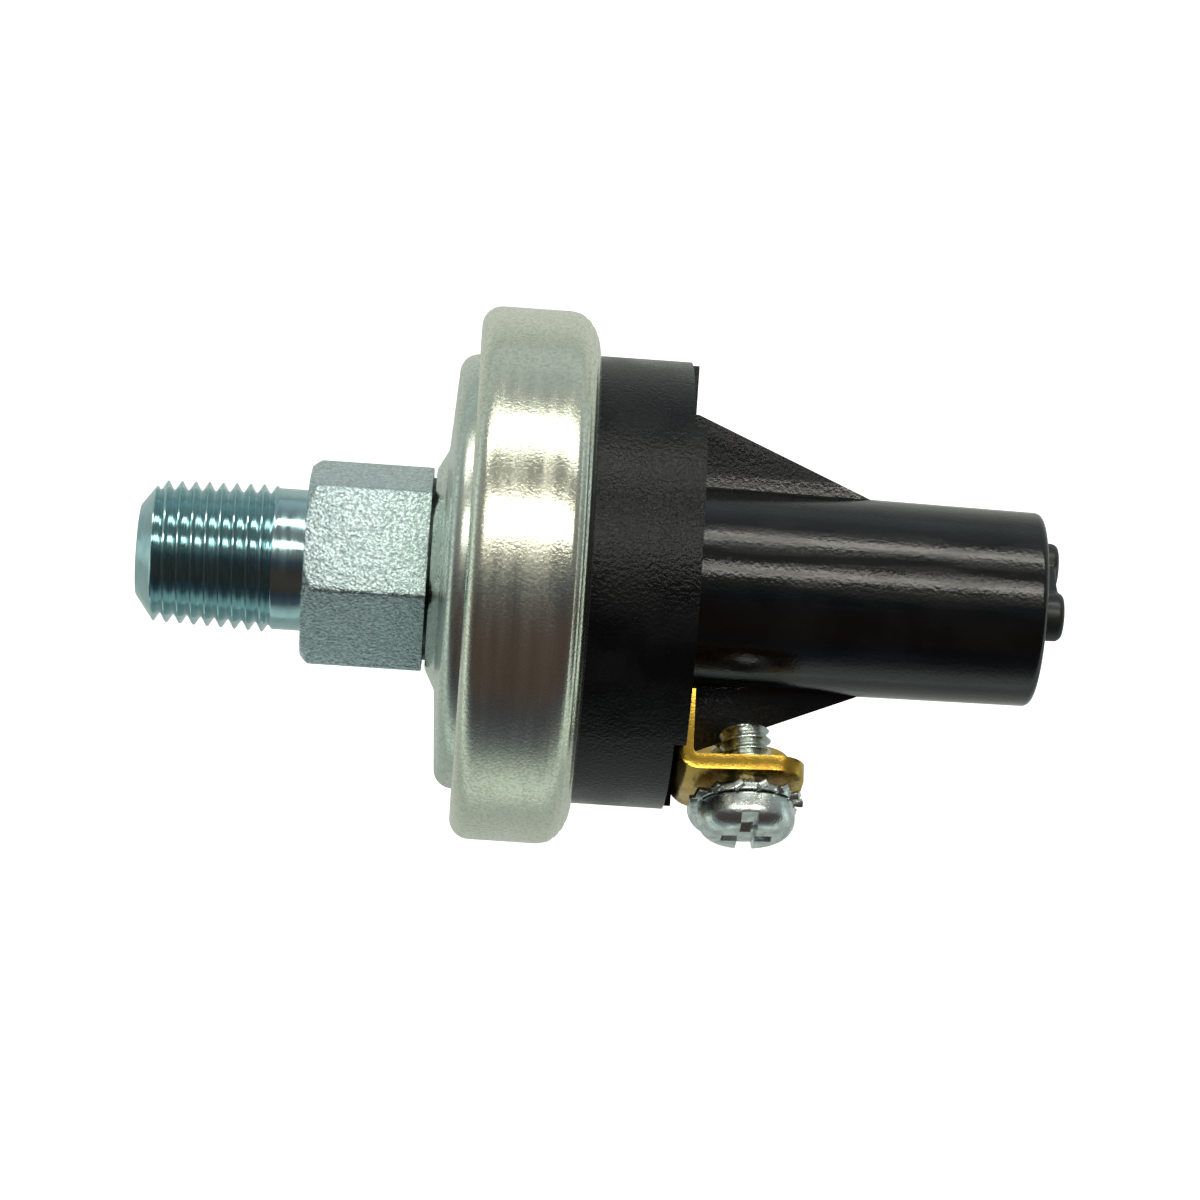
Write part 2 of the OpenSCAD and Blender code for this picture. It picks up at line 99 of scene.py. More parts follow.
class Tree:
    """Adds nodes to one shader or geometry tree and joins their sockets."""

    def __init__(self, tree: bpy.types.NodeTree) -> None:
        """Keeps the tree that the nodes go into."""
        self.tree = tree

    def node(self, kind: str, inputs: dict | None = None, **properties) -> bpy.types.Node:
        """Adds one node.

        Args:
            kind: the node's type.
            inputs: values or sockets by the input's name or number.
            properties: attributes set before the inputs.
        Returns:
            The new node.
        """
        made = self.tree.nodes.new(kind)
        for key, value in properties.items():
            setattr(made, key, value)
        for key, value in (inputs or {}).items():
            self.feed(made.inputs[key], value)
        return made

    def feed(self, socket: bpy.types.NodeSocket, value: Value) -> None:
        """Joins a socket to an input, or sets the input's own value.

        Args:
            socket: the input.
            value: an output socket, or a plain value.
        """
        if isinstance(value, bpy.types.NodeSocket):
            self.tree.links.new(value, socket)
        else:
            socket.default_value = value

    def math(self, operation: str, *values: Value) -> bpy.types.NodeSocket:
        """Adds a math node.

        Args:
            operation: the node's operation.
            values: its operands in order.
        Returns:
            The result.
        """
        made = self.node("ShaderNodeMath", operation=operation)
        for socket, value in zip(made.inputs, values):
            self.feed(socket, value)
        return made.outputs[0]

    def times(self, first: Value, second: Value) -> bpy.types.NodeSocket:
        """Multiplies two values."""
        return self.math("MULTIPLY", first, second)

    def plus(self, first: Value, second: Value) -> bpy.types.NodeSocket:
        """Adds two values."""
        return self.math("ADD", first, second)

    def minus(self, first: Value, second: Value) -> bpy.types.NodeSocket:
        """Takes the second value from the first."""
        return self.math("SUBTRACT", first, second)

    def over(self, first: Value, second: Value) -> bpy.types.NodeSocket:
        """Divides the first value by the second."""
        return self.math("DIVIDE", first, second)

    def vector(self, operation: str, *values: Value) -> bpy.types.Node:
        """Adds a vector math node."""
        return self.node("ShaderNodeVectorMath", dict(enumerate(values)), operation=operation)

    def clamped(self, value: Value, low: Value, high: Value) -> bpy.types.NodeSocket:
        """Holds a value between two others."""
        return self.math("MINIMUM", self.math("MAXIMUM", value, low), high)

    def mixed(self, share: Value, first: Value, second: Value) -> bpy.types.NodeSocket:
        """Mixes two values by a share from 0 to 1."""
        return self.plus(first, self.times(share, self.minus(second, first)))

    def ramp(
        self, value: Value, low: Value, high: Value, to_low: float = 0, to_high: float = 1
    ) -> bpy.types.NodeSocket:
        """Maps a range onto another with smooth ends.

        Args:
            value: what is mapped.
            low: start of the range.
            high: end of the range.
            to_low: result at the start.
            to_high: result at the end.
        Returns:
            The mapped value.
        """
        return self.node(
            "ShaderNodeMapRange",
            {0: value, 1: low, 2: high, 3: to_low, 4: to_high},
            interpolation_type="SMOOTHSTEP",
        ).outputs[0]

    def colour_mix(self, share: Value, first: Value, second: Value) -> bpy.types.NodeSocket:
        """Mixes two colours.

        Args:
            share: how much of the second, from 0 to 1.
            first: a colour or a colour socket.
            second: a colour or a colour socket.
        Returns:
            The mixed colour.
        """
        made = self.node("ShaderNodeMix", data_type="RGBA")
        self.feed(made.inputs[0], share)
        for socket, value in zip(made.inputs[6:8], (first, second)):
            self.feed(socket, (*value, 1) if isinstance(value, tuple) else value)
        return made.outputs[2]


def start_group(name: str, kind: str, inputs: dict[str, float | int | str], outputs: dict[str, str]) -> tuple:
    """Starts a node group with named inputs and outputs.

    Args:
        name: the group's name.
        kind: the group's type.
        inputs: by name, the default of a float or integer input, or another input's socket type.
        outputs: socket type of each output by name.
    Returns:
        The group, its tree helper, its inputs' sockets and its output node.
    """
    group = bpy.data.node_groups.new(name, kind)
    for key, value in inputs.items():
        plain = {float: "NodeSocketFloat", int: "NodeSocketInt"}.get(type(value))
        socket = group.interface.new_socket(key, in_out="INPUT", socket_type=plain or value)
        if plain:
            socket.default_value = value
    for key, socket_type in outputs.items():
        group.interface.new_socket(key, in_out="OUTPUT", socket_type=socket_type)
    tree = Tree(group)
    return group, tree, tree.node("NodeGroupInput").outputs, tree.node("NodeGroupOutput")


class ShaderEffects:
    """Shader node groups shared by the finishes. Each puts out a mask or a normal."""

    KIND = "ShaderNodeTree"
    PLACE = {"Vector": "NodeSocketVector"}
    RELIEF = {"Normal": "NodeSocketVector", "Mask": "NodeSocketFloat"}

    def __init__(self) -> None:
        """Builds the groups."""
        self.mottle = self._mottle()
        self.grain = self._grain()
        self.turning = self._turning()

    def _mottle(self) -> bpy.types.NodeTree:
        """Cloudy patches as a mask between two thresholds.

        Returns:
            The group.
        """
        inputs = {**self.PLACE, "Scale": 300.0, "Low": 0.4, "High": 0.6, "Detail": 4.0}
        group, tree, given, out = start_group("mottle", self.KIND, inputs, {"Mask": "NodeSocketFloat"})
        noise = tree.node("ShaderNodeTexNoise", {key: given[key] for key in ("Vector", "Scale", "Detail")})
        tree.feed(out.inputs["Mask"], tree.ramp(noise.outputs[0], given["Low"], given["High"]))
        return group

    @staticmethod
    def _relief(tree: Tree, given: bpy.types.NodeOutputs, out: bpy.types.Node, noise: bpy.types.Node) -> None:
        """Puts a noise out as a bumped normal and as a mask.

        Args:
            tree: the group's tree helper.
            given: the group's inputs, of which Height is the depth.
            out: the group's output node.
            noise: the noise node.
        """
        inputs = {"Strength": 1, "Distance": given["Height"], "Height": noise.outputs[0]}
        tree.feed(out.inputs["Normal"], tree.node("ShaderNodeBump", inputs).outputs[0])
        tree.feed(out.inputs["Mask"], noise.outputs[0])

    def _grain(self) -> bpy.types.NodeTree:
        """Fine pits of a given height as a bumped normal.

        Returns:
            The group.
        """
        inputs = {**self.PLACE, "Scale": 3000.0, "Height": 5e-6}
        group, tree, given, out = start_group("grain", self.KIND, inputs, self.RELIEF)
        inputs = {"Vector": given["Vector"], "Scale": given["Scale"], "Detail": 3, "Roughness": 0.6}
        noise = tree.node("ShaderNodeTexNoise", inputs)
        self._relief(tree, given, out, noise)
        return group

    def _turning(self) -> bpy.types.NodeTree:
        """Lines round the Z axis, as a lathe or a press tool leaves, as a mask and a normal.

        Returns:
            The group.
        """
        inputs = {**self.PLACE, "Scale": 2500.0, "Height": 2e-6}
        group, tree, given, out = start_group("turning", self.KIND, inputs, self.RELIEF)
        waver = 1.6
        parts = tree.node("ShaderNodeSeparateXYZ", {0: given["Vector"]})
        flat = tree.vector("MULTIPLY", given["Vector"], (1, 1, 0)).outputs[0]
        radius = tree.vector("LENGTH", flat).outputs["Value"]
        heading = tree.node("ShaderNodeSeparateXYZ", {0: tree.vector("NORMALIZE", flat).outputs[0]})
        x, y = (tree.times(heading.outputs[k], waver) for k in (0, 1))
        z = tree.times(parts.outputs[2], given["Scale"])
        place = tree.node("ShaderNodeCombineXYZ", {0: x, 1: y, 2: z}).outputs[0]
        inputs = {"Vector": place, "W": tree.times(radius, given["Scale"]), "Scale": 1, "Detail": 3}
        noise = tree.node("ShaderNodeTexNoise", inputs, noise_dimensions="4D")
        self._relief(tree, given, out, noise)
        return group


EFFECTS = ShaderEffects()


class Finish:
    """A material with a Principled shader, worked out in the row frame's coordinates."""

    name: str

    def build(self) -> bpy.types.Material:
        """Builds the material.

        Returns:
            The material.
        """
        material = bpy.data.materials.new(self.name)
        material.use_nodes = True
        tree = Tree(material.node_tree)
        place = tree.node("ShaderNodeTexCoord").outputs["Object"]
        shader = material.node_tree.nodes["Principled BSDF"]
        for key, value in self.paint(tree, place).items():
            tree.feed(shader.inputs[key], value)
        return material

    def paint(self, tree: Tree, place: bpy.types.NodeSocket) -> dict[str, Value]:
        """Works out the look. Each kind of finish has its own.

        Args:
            tree: the material's tree helper.
            place: the object coordinates.
        Returns:
            Values or sockets by the shader input's name.
        """
        raise NotImplementedError

    @staticmethod
    def effect(
        tree: Tree, group: bpy.types.NodeTree, place: bpy.types.NodeSocket, **inputs: Value
    ) -> bpy.types.Node:
        """Adds one of the shared groups to a material.

        Args:
            tree: the material's tree helper.
            group: the node group.
            place: the coordinates it works on.
            inputs: values or sockets by the input's name.
        Returns:
            The group node.
        """
        return tree.node("ShaderNodeGroup", {"Vector": place, **inputs}, node_tree=group)

    def patches(self, tree: Tree, place: bpy.types.NodeSocket, **inputs: Value) -> bpy.types.NodeSocket:
        """Gives the mask of cloudy patches."""
        return self.effect(tree, EFFECTS.mottle, place, **inputs).outputs["Mask"]


@dataclass(frozen=True)
class MetalFinish(Finish):
    """A bare, plated or drawn metal.

    Scales are in cells a metre and heights in millimetres.
    """

    name: str
    base: Colour
    patch: Colour
    roughness: float = 0.2
    rough_patch: float = 0.35
    patch_scale: float = 350
    patch_low: float = 0.42
    patch_high: float = 0.62
    grain_scale: float = 2500
    grain_height: float = 0.004
    line_scale: float = 0
    line_height: float = 0.0
    stain: Colour | None = None
    stain_low: float = 0.55
    stain_scale: float = 95

    def paint(self, tree: Tree, place: bpy.types.NodeSocket) -> dict[str, Value]:
        """Works out the look.

        Args:
            tree: the material's tree helper.
            place: the object coordinates.
        Returns:
            Values or sockets by the shader input's name.
        """
        mottle = self.patches(tree, place, Scale=self.patch_scale, Low=self.patch_low, High=self.patch_high)
        grain = self.effect(tree, EFFECTS.grain, place, Scale=self.grain_scale, Height=self.grain_height * MM)
        colour = tree.colour_mix(mottle, self.base, self.patch)
        rough = tree.mixed(mottle, self.roughness, self.rough_patch)
        normal = grain.outputs["Normal"]
        if self.line_scale:
            depth = self.line_height * MM
            lines = self.effect(tree, EFFECTS.turning, place, Scale=self.line_scale, Height=depth)
            rough = tree.plus(rough, tree.ramp(lines.outputs["Mask"], 0.35, 0.65, -0.04, 0.06))
            merge = tree.vector("ADD", normal, lines.outputs["Normal"])
            normal = tree.vector("NORMALIZE", merge.outputs[0]).outputs[0]
        if self.stain:
            spread = self.patches(
                tree, place, Scale=self.stain_scale, Low=self.stain_low, High=self.stain_low + 0.2, Detail=6
            )
            colour = tree.colour_mix(tree.times(spread, 0.6), colour, self.stain)
            rough = tree.plus(rough, tree.times(spread, 0.08))
        return {"Metallic": 1.0, "Base Color": colour, "Roughness": rough, "Normal": normal}


@dataclass(frozen=True)
class MouldedFinish(Finish):
    """A moulded plastic, rubber or board. Scales are in cells a metre and heights in millimetres."""

    name: str
    base: Colour
    dust: Colour
    roughness: float = 0.42
    rough_patch: float = 0.55
    grain_scale: float = 2600
    grain_height: float = 0.01
    dust_share: float = 0.5
    specular: float = 0.5

    def paint(self, tree: Tree, place: bpy.types.NodeSocket) -> dict[str, Value]:
        """Works out the look.

        Args:
            tree: the material's tree helper.
            place: the object coordinates.
        Returns:
            Values or sockets by the shader input's name.
        """
        mottle = self.patches(tree, place, Scale=240, Low=0.4, High=0.7, Detail=6)
        grain = self.effect(tree, EFFECTS.grain, place, Scale=self.grain_scale, Height=self.grain_height * MM)
        specks = tree.ramp(grain.outputs["Mask"], 0.58, 0.72)
        share = tree.times(self.dust_share, tree.math("MAXIMUM", mottle, specks))
        return {
            "Base Color": tree.colour_mix(share, self.base, self.dust),
            "Roughness": tree.mixed(mottle, self.roughness, self.rough_patch),
            "Specular IOR Level": self.specular,
            "Normal": grain.outputs["Normal"],
        }


@dataclass(frozen=True)
class HousingFinish(Finish):
    """Black moulding: spark-eroded grain on the disc and fins, and a glossy, streaked tower."""

    name: str = "housing_black"
    base: Colour = (0.0028, 0.0031, 0.0035)
    dust: Colour = (0.009, 0.0095, 0.0105)
    disc_roughness: float = 0.2
    tower_roughness: float = 0.1
    disc_specular: float = 0.25
    tower_specular: float = 0.5
    rough_spread: float = 0.12
    disc_grain: float = 0.06
    tower_grain: float = 0.018
    grain_scale: float = 3900
    tower_r: float = 7.6
    tower_z: float = 38.1

    def paint(self, tree: Tree, place: bpy.types.NodeSocket) -> dict[str, Value]:
        """Works out the look.

        Args:
            tree: the material's tree helper.
            place: the object coordinates.
        Returns:
            Values or sockets by the shader input's name.
        """
        parts = tree.node("ShaderNodeSeparateXYZ", {0: place})
        flat = tree.vector("MULTIPLY", place, (1, 1, 0)).outputs[0]
        radius = tree.vector("LENGTH", flat).outputs["Value"]
        tower = tree.math(
            "MULTIPLY",
            tree.ramp(radius, self.tower_r * MM, (self.tower_r + 0.4) * MM, 1, 0),
            tree.ramp(parts.outputs[2], self.tower_z * MM, (self.tower_z + 0.3) * MM),
        )
        stretched = tree.vector("MULTIPLY", place, (1, 1, 0.09)).outputs[0]
        streaks = self.patches(tree, stretched, Scale=1500, Low=0.42, High=0.6, Detail=3)
        clouds = self.patches(tree, place, Scale=260, Low=0.4, High=0.65, Detail=6)
        height = tree.mixed(tower, self.disc_grain * MM, self.tower_grain * MM)
        grain = self.effect(tree, EFFECTS.grain, place, Scale=self.grain_scale, Height=height)
        specks = tree.ramp(grain.outputs["Mask"], 0.6, 0.75)
        rough_disc = tree.mixed(clouds, self.disc_roughness, self.disc_roughness + self.rough_spread)
        rough_tower = tree.mixed(streaks, self.tower_roughness, self.tower_roughness + self.rough_spread)
        share = tree.times(0.6, tree.math("MAXIMUM", clouds, specks))
        return {
            "Base Color": tree.colour_mix(share, self.base, self.dust),
            "Roughness": tree.mixed(tower, rough_disc, rough_tower),
            "Specular IOR Level": tree.mixed(tower, self.disc_specular, self.tower_specular),
            "Normal": grain.outputs["Normal"],
        }


FINISHES: dict[str, Finish] = {
    finish.name: finish
    for finish in (
        MetalFinish(
            "thread_zinc", (0.44, 0.62, 0.64), (0.36, 0.53, 0.56), 0.12, 0.18, 900, 0.3, 0.75,
            4200, 0.002, 3200, 0.003
        ),
        MetalFinish(
            "hex_zinc", (0.54, 0.66, 0.67), (0.36, 0.45, 0.47), 0.06, 0.12, 4600, 0.42, 0.6, 4500, 0.13
        ),
        # Near-black zinc for the collar between the hexagon and the cup: a painted shadow that stands for the
        # shade in that narrow gap.
        MetalFinish("painted_shadow_zinc", (0.05, 0.06, 0.06), (0.03, 0.035, 0.035), 0.42, 0.55, 900),
        MetalFinish(
            "cup_zinc", (0.68, 0.73, 0.65), (0.54, 0.60, 0.52), 0.24, 0.32, 4200, 0.4, 0.65,
            5000, 0.02, 1300, 0.022, (0.38, 0.36, 0.26), 0.58
        ),
        MetalFinish(
            "ring_zinc", (0.80, 0.81, 0.68), (0.64, 0.66, 0.54), 0.19, 0.26, 4600, 0.4, 0.65,
            5200, 0.034, 1100, 0.003, (0.48, 0.43, 0.28), 0.62
        ),
        MetalFinish(
            "screw_zinc", (0.74, 0.79, 0.76), (0.50, 0.56, 0.53), 0.2, 0.32, 1300, 0.36, 0.66, 4200, 0.022
        ),
        MetalFinish(
            "washer_zinc", (0.74, 0.79, 0.75), (0.48, 0.53, 0.50), 0.2, 0.32, 1500, 0.36, 0.66, 4200, 0.02
        ),
        MetalFinish(
            "terminal_brass", (0.60, 0.39, 0.06), (0.42, 0.24, 0.035), 0.2, 0.3, 700, 0.35, 0.7, 4200, 0.012,
            stain=(0.2, 0.09, 0.02), stain_low=0.52
        ),
        MetalFinish("bridge_copper", (0.80, 0.45, 0.28), (0.55, 0.28, 0.15), 0.25, 0.4, 500),
        MetalFinish("contact_silver", (0.86, 0.85, 0.82), (0.60, 0.58, 0.54), 0.2, 0.35, 900),
        MetalFinish("spring_steel", (0.50, 0.51, 0.53), (0.32, 0.33, 0.35), 0.24, 0.36, 700),
        MetalFinish(
            "seat_steel", (0.56, 0.57, 0.58), (0.38, 0.39, 0.40), 0.26, 0.4, 500, line_scale=2600,
            line_height=0.004
        ),
        MetalFinish(
            "adjuster_brass", (0.78, 0.56, 0.24), (0.52, 0.34, 0.12), 0.22, 0.36, 500, line_scale=2600,
            line_height=0.004
        ),
        HousingFinish(),
        MouldedFinish("gasket_rubber", (0.012, 0.012, 0.013), (0.03, 0.03, 0.032), 0.6, 0.75),
        MouldedFinish("diaphragm_film", (0.24, 0.11, 0.03), (0.34, 0.19, 0.07), 0.3, 0.42, 1800, 0.004),
        MouldedFinish("piston_plastic", (0.55, 0.53, 0.47), (0.42, 0.40, 0.35), 0.4, 0.52, 2000, 0.008),
        MouldedFinish("guide_board", (0.25, 0.12, 0.045), (0.16, 0.075, 0.03), 0.5, 0.65, 1500, 0.012),
        MouldedFinish("plug_rubber", (0.011, 0.011, 0.012), (0.026, 0.026, 0.028), 0.34, 0.5, 2200, 0.012),
    )
}
MATERIALS: dict[str, bpy.types.Material] = {name: finish.build() for name, finish in FINISHES.items()}


def arc(x: float, y: float, rx: float, ry: float, start: float, end: float, steps: int = 12) -> list[Point]:
    """Points on an elliptical arc.

    Args:
        x, y: the centre.
        rx, ry: the radii.
        start, end: angles in degrees.
        steps: number of steps.
    Returns:
        The points, both ends included.
    """
    angles = (math.radians(start + (end - start) * k / steps) for k in range(steps + 1))
    return [(x + rx * math.cos(a), y + ry * math.sin(a)) for a in angles]


def rounded(corners: Iterable[tuple], closed: bool = False, steps: int = 4) -> list[Point]:
    """Rounds the corners of an outline.

    Args:
        corners: points as (x, y) or (x, y, radius).
        closed: whether the last point joins the first.
        steps: steps in each rounding.
    Returns:
        The rounded outline.
    """
    corners = list(corners)
    count, out = len(corners), []
    for k, corner in enumerate(corners):
        end = not closed and k in (0, count - 1)
        if len(corner) == 2 or end:
            out.append((corner[0], corner[1]))
            continue
        here = Vector(corner[:2])
        before = Vector(corners[k - 1][:2]) - here
        after = Vector(corners[(k + 1) % count][:2]) - here
        cut = min(corner[2] / math.tan(before.angle(after) / 2), 0.45 * min(before.length, after.length))
        a, b = here + before.normalized() * cut, here + after.normalized() * cut
        for s in range(steps + 1):
            t = s / steps
            p = a * (1 - t) ** 2 + here * 2 * t * (1 - t) + b * t * t
            out.append((p.x, p.y))
    return out


def lathe(points: list[Point], columns: int, closed: bool = False) -> bmesh.types.BMesh:
    """Turns an outline round the Z axis.

    Args:
        points: the outline as (radius, height) in millimetres.
        columns: steps round the axis.
        closed: whether the last point joins the first.
    Returns:
        The surface in metres, welded.
    """
    return swept(lambda a: [(r, z) for r, z in points], columns, 0.0, closed)


def swept(
    section: Callable[[float], list[Point]], columns: int, turn: float, closed: bool = False
) -> bmesh.types.BMesh:
    """Turns an outline that may change with the angle round the Z axis.

    Args:
        section: gives the outline at an angle in radians, always with as many points.
        columns: steps round the axis.
        turn: angle of the first step, in radians.
        closed: whether the last point joins the first.
    Returns:
        The surface in metres, welded.
    """
    bm = bmesh.new()
    rings = []
    for c in range(columns):
        a = turn + 2 * math.pi * c / columns
        rings.append(
            [bm.verts.new((r * MM * math.cos(a), r * MM * math.sin(a), z * MM)) for r, z in section(a)]
        )
    count = len(rings[0])
    for c in range(columns):
        here, after = rings[c], rings[(c + 1) % columns]
        for k in range(count if closed else count - 1):
            n = (k + 1) % count
            bm.faces.new((here[k], after[k], after[n], here[n]))
    bmesh.ops.remove_doubles(bm, verts=bm.verts, dist=MERGE)
    return bm


def boxed(bm: bmesh.types.BMesh, loops: list[list[bmesh.types.BMVert]]) -> None:
    """Skins loops of four corners from end to end, both ends closed.

    Args:
        bm: the shell they are in.
        loops: the loops in order.
    """
    bm.faces.new(loops[0])
    bm.faces.new(loops[-1][::-1])
    for a, b in zip(loops, loops[1:]):
        for k in range(4):
            n = (k + 1) % 4
            bm.faces.new((a[k], b[k], b[n], a[n]))


def cad_shell(node: str) -> bmesh.types.BMesh:
    """Copies a CAD node's mesh and merges its doubled corners.

    Args:
        node: the node's name.
    Returns:
        The copy in metres.
    """
    bm = bmesh.new()
    bm.from_mesh(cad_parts[node].data)
    bmesh.ops.remove_doubles(bm, verts=bm.verts, dist=CAD_MERGE)
    return bm


def as_mesh(name: str, bm: bmesh.types.BMesh) -> bpy.types.Mesh:
    """Writes a shell to a new mesh.

    Args:
        name: the mesh's name.
        bm: the shell, which is freed.
    Returns:
        The mesh.
    """
    mesh = bpy.data.meshes.new(name)
    bm.to_mesh(mesh)
    bm.free()
    return mesh


def linked(name: str, data: bpy.types.ID) -> bpy.types.Object:
    """Makes an object of some data and puts it in the scene.

    Args:
        name: the object's name.
        data: its mesh, camera or light.
    Returns:
        The object, at the origin.
    """
    made = bpy.data.objects.new(name, data)
    bpy.context.scene.collection.objects.link(made)
    return made


def as_object(
    name: str, bm: bmesh.types.BMesh, materials: Iterable[str], sharp: float = 35
) -> bpy.types.Object:
    """Makes a shown object of a built shell.

    Args:
        name: the piece's name.
        bm: the shell, which is freed.
        materials: material names by slot.
        sharp: faces that meet at more than this angle, in degrees, keep a crisp edge.
    Returns:
        The object, at the origin.
    """
    bmesh.ops.recalc_face_normals(bm, faces=bm.faces)
    mesh = as_mesh(name, bm)
    for material in materials:
        mesh.materials.append(MATERIALS[material])
    mesh.shade_smooth()
    mesh.set_sharp_from_angle(angle=math.radians(sharp))
    return linked(name, mesh)


def applied(made: bpy.types.Object) -> bpy.types.Mesh:
    """Gives the plain mesh of an object with its modifiers worked out.

    Args:
        made: the object.
    Returns:
        A new mesh.
    """
    evaluated = made.evaluated_get(bpy.context.evaluated_depsgraph_get())
    return bpy.data.meshes.new_from_object(evaluated)


def bake(made: bpy.types.Object) -> bpy.types.Object:
    """Turns an object's modifiers into its own plain mesh.

    Args:
        made: the object.
    Returns:
        The same object, with no modifiers.
    """
    mesh = applied(made)
    made.modifiers.clear()
    made.data = mesh
    return made


def discard(made: bpy.types.Object) -> None:
    """Takes a helper object out of the scene."""
    bpy.data.objects.remove(made, do_unlink=True)


def run_geometry(
    name: str, mesh: bpy.types.Mesh, group: bpy.types.NodeTree, inputs: dict[str, object]
) -> bpy.types.Mesh:
    """Runs a geometry node group on a mesh, and gives every face the first slot.

    Args:
        name: name of the passing object.
        mesh: the mesh it starts from.
        group: the group.
        inputs: values by the input's name.
    Returns:
        The plain mesh that comes out.
    """
    host = linked(name, mesh)
    modifier = host.modifiers.new("nodes", "NODES")
    modifier.node_group = group
    for item in group.interface.items_tree:
        if item.item_type == "SOCKET" and item.in_out == "INPUT" and item.name in inputs:
            modifier[item.identifier] = inputs[item.name]
    out = applied(host)
    out.polygons.foreach_set("material_index", [0] * len(out.polygons))
    host.modifiers.clear()
    discard(host)
    return out


def geometry_group(name: str, inputs: dict[str, float | int]) -> tuple:
    """Starts a geometry node group that also takes a material.

    Args:
        name: the group's name.
        inputs: default of each float or integer input by name.
    Returns:
        The group, its tree helper, its inputs' sockets and its output node.
    """
    shape = {"Geometry": "NodeSocketGeometry"}
    return start_group(name, "GeometryNodeTree", {**shape, **inputs, "Material": "NodeSocketMaterial"}, shape)


def dressed(tree: Tree, geometry: bpy.types.NodeSocket, material: Value) -> bpy.types.NodeSocket:
    """Ends a geometry tree: realizes its instances and sets its material.

    Args:
        tree: the tree helper.
        geometry: what was built.
        material: the material's socket.
    Returns:
        The finished geometry.
    """
    real = tree.node("GeometryNodeRealizeInstances", {"Geometry": geometry}).outputs[0]
    return tree.node("GeometryNodeSetMaterial", {"Geometry": real, "Material": material}).outputs[0]


@dataclass(frozen=True)
class HelixThread:
    """An outside thread as one winding surface from z = 0 up, in millimetres."""

    length: float
    pitch: float
    crest_r: float
    crest_z: float
    depth: float
    taper: float
    tip_r: float
    tip_slope: float
    end_r: float
    run_out: float
    columns: int
    samples: int = 12
    turn: float = 0.0

    GROUP = "helix_thread"
    FLANK = ((0.1, 0.985), (0.2, 0.86), (0.82, 0.11), (0.92, 0.012))

    def group(self) -> bpy.types.NodeTree:
        """Builds the node group once.

        Returns:
            The group.
        """
        if self.GROUP in bpy.data.node_groups:
            return bpy.data.node_groups[self.GROUP]
        floats = ("Length", "Pitch", "Crest Radius", "Crest Height", "Depth", "Taper", "Tip Radius")
        floats += ("Tip Slope", "End Radius", "Run Out", "Turn")
        inputs = dict.fromkeys(floats, 0.0) | {"Columns": 96, "Samples": 12, "Turns": 8}
        group, tree, value, out = geometry_group(self.GROUP, inputs)
        per_column = tree.plus(tree.times(value["Samples"], value["Turns"]), 1)
        columns = tree.plus(value["Columns"], 1)
        grid = tree.node("GeometryNodeMeshGrid", {"Vertices X": columns, "Vertices Y": per_column})
        index = tree.node("GeometryNodeInputIndex").outputs[0]
        column = tree.math("FLOOR", tree.over(tree.plus(index, 0.5), per_column))
        row = tree.minus(index, tree.times(column, per_column))
        share = tree.over(column, value["Columns"])
        climb = tree.minus(tree.plus(tree.over(row, value["Samples"]), share), 1)
        z = tree.clamped(tree.times(climb, value["Pitch"]), 0, value["Length"])
        steps = tree.over(tree.minus(z, value["Crest Height"]), value["Pitch"])
        phase = tree.math("FRACT", tree.plus(tree.minus(steps, share), 64.5))
        off = tree.times(2, tree.math("ABSOLUTE", tree.minus(phase, 0.5)))
        curve = tree.node("ShaderNodeFloatCurve", {"Value": off})
        points = curve.mapping.curves[0].points
        points[0].location, points[1].location = (0, 1), (1, 0)
        for place in self.FLANK:
            points.new(*place)
        for point in points:
            point.handle_type = "AUTO_CLAMPED"
        curve.mapping.update()
        rise = tree.times(value["Taper"], tree.minus(z, value["Crest Height"]))
        crest = tree.plus(value["Crest Radius"], rise)
        form = tree.times(value["Depth"], tree.minus(1, curve.outputs[0]))
        ridge = tree.minus(crest, form)
        tip = tree.plus(value["Tip Radius"], tree.times(value["Tip Slope"], z))
        fade = tree.ramp(tree.minus(value["Length"], z), 0, value["Run Out"], 1, 0)
        radius = tree.mixed(fade, tree.math("MINIMUM", ridge, tip), value["End Radius"])
        angle = tree.plus(value["Turn"], tree.times(share, 2 * math.pi))
        x, y = (tree.times(radius, tree.math(way, angle)) for way in ("COSINE", "SINE"))
        place = tree.node("ShaderNodeCombineXYZ", {0: x, 1: y, 2: z}).outputs[0]
        moved = tree.node("GeometryNodeSetPosition", {"Geometry": grid.outputs[0], "Position": place})
        welded = tree.node("GeometryNodeMergeByDistance", {"Geometry": moved.outputs[0], "Distance": MERGE})
        tree.feed(out.inputs[0], dressed(tree, welded.outputs[0], value["Material"]))
        return group

    def build(self, material: str) -> bpy.types.Mesh:
        """Winds the thread.

        Args:
            material: its material's name.
        Returns:
            The thread's mesh in metres.
        """
        sizes = {
            "Length": self.length,
            "Pitch": self.pitch,
            "Crest Radius": self.crest_r,
            "Crest Height": self.crest_z,
            "Depth": self.depth,
            "Tip Radius": self.tip_r,
            "End Radius": self.end_r,
            "Run Out": self.run_out,
        }
        inputs = {key: size * MM for key, size in sizes.items()} | {
            "Taper": self.taper,
            "Tip Slope": self.tip_slope,
            "Turn": self.turn,
            "Columns": self.columns,
            "Samples": self.samples,
            "Turns": math.ceil(self.length / self.pitch) + 1,
            "Material": MATERIALS[material],
        }
        return run_geometry("thread_host", bpy.data.meshes.new("thread_seed"), self.group(), inputs)


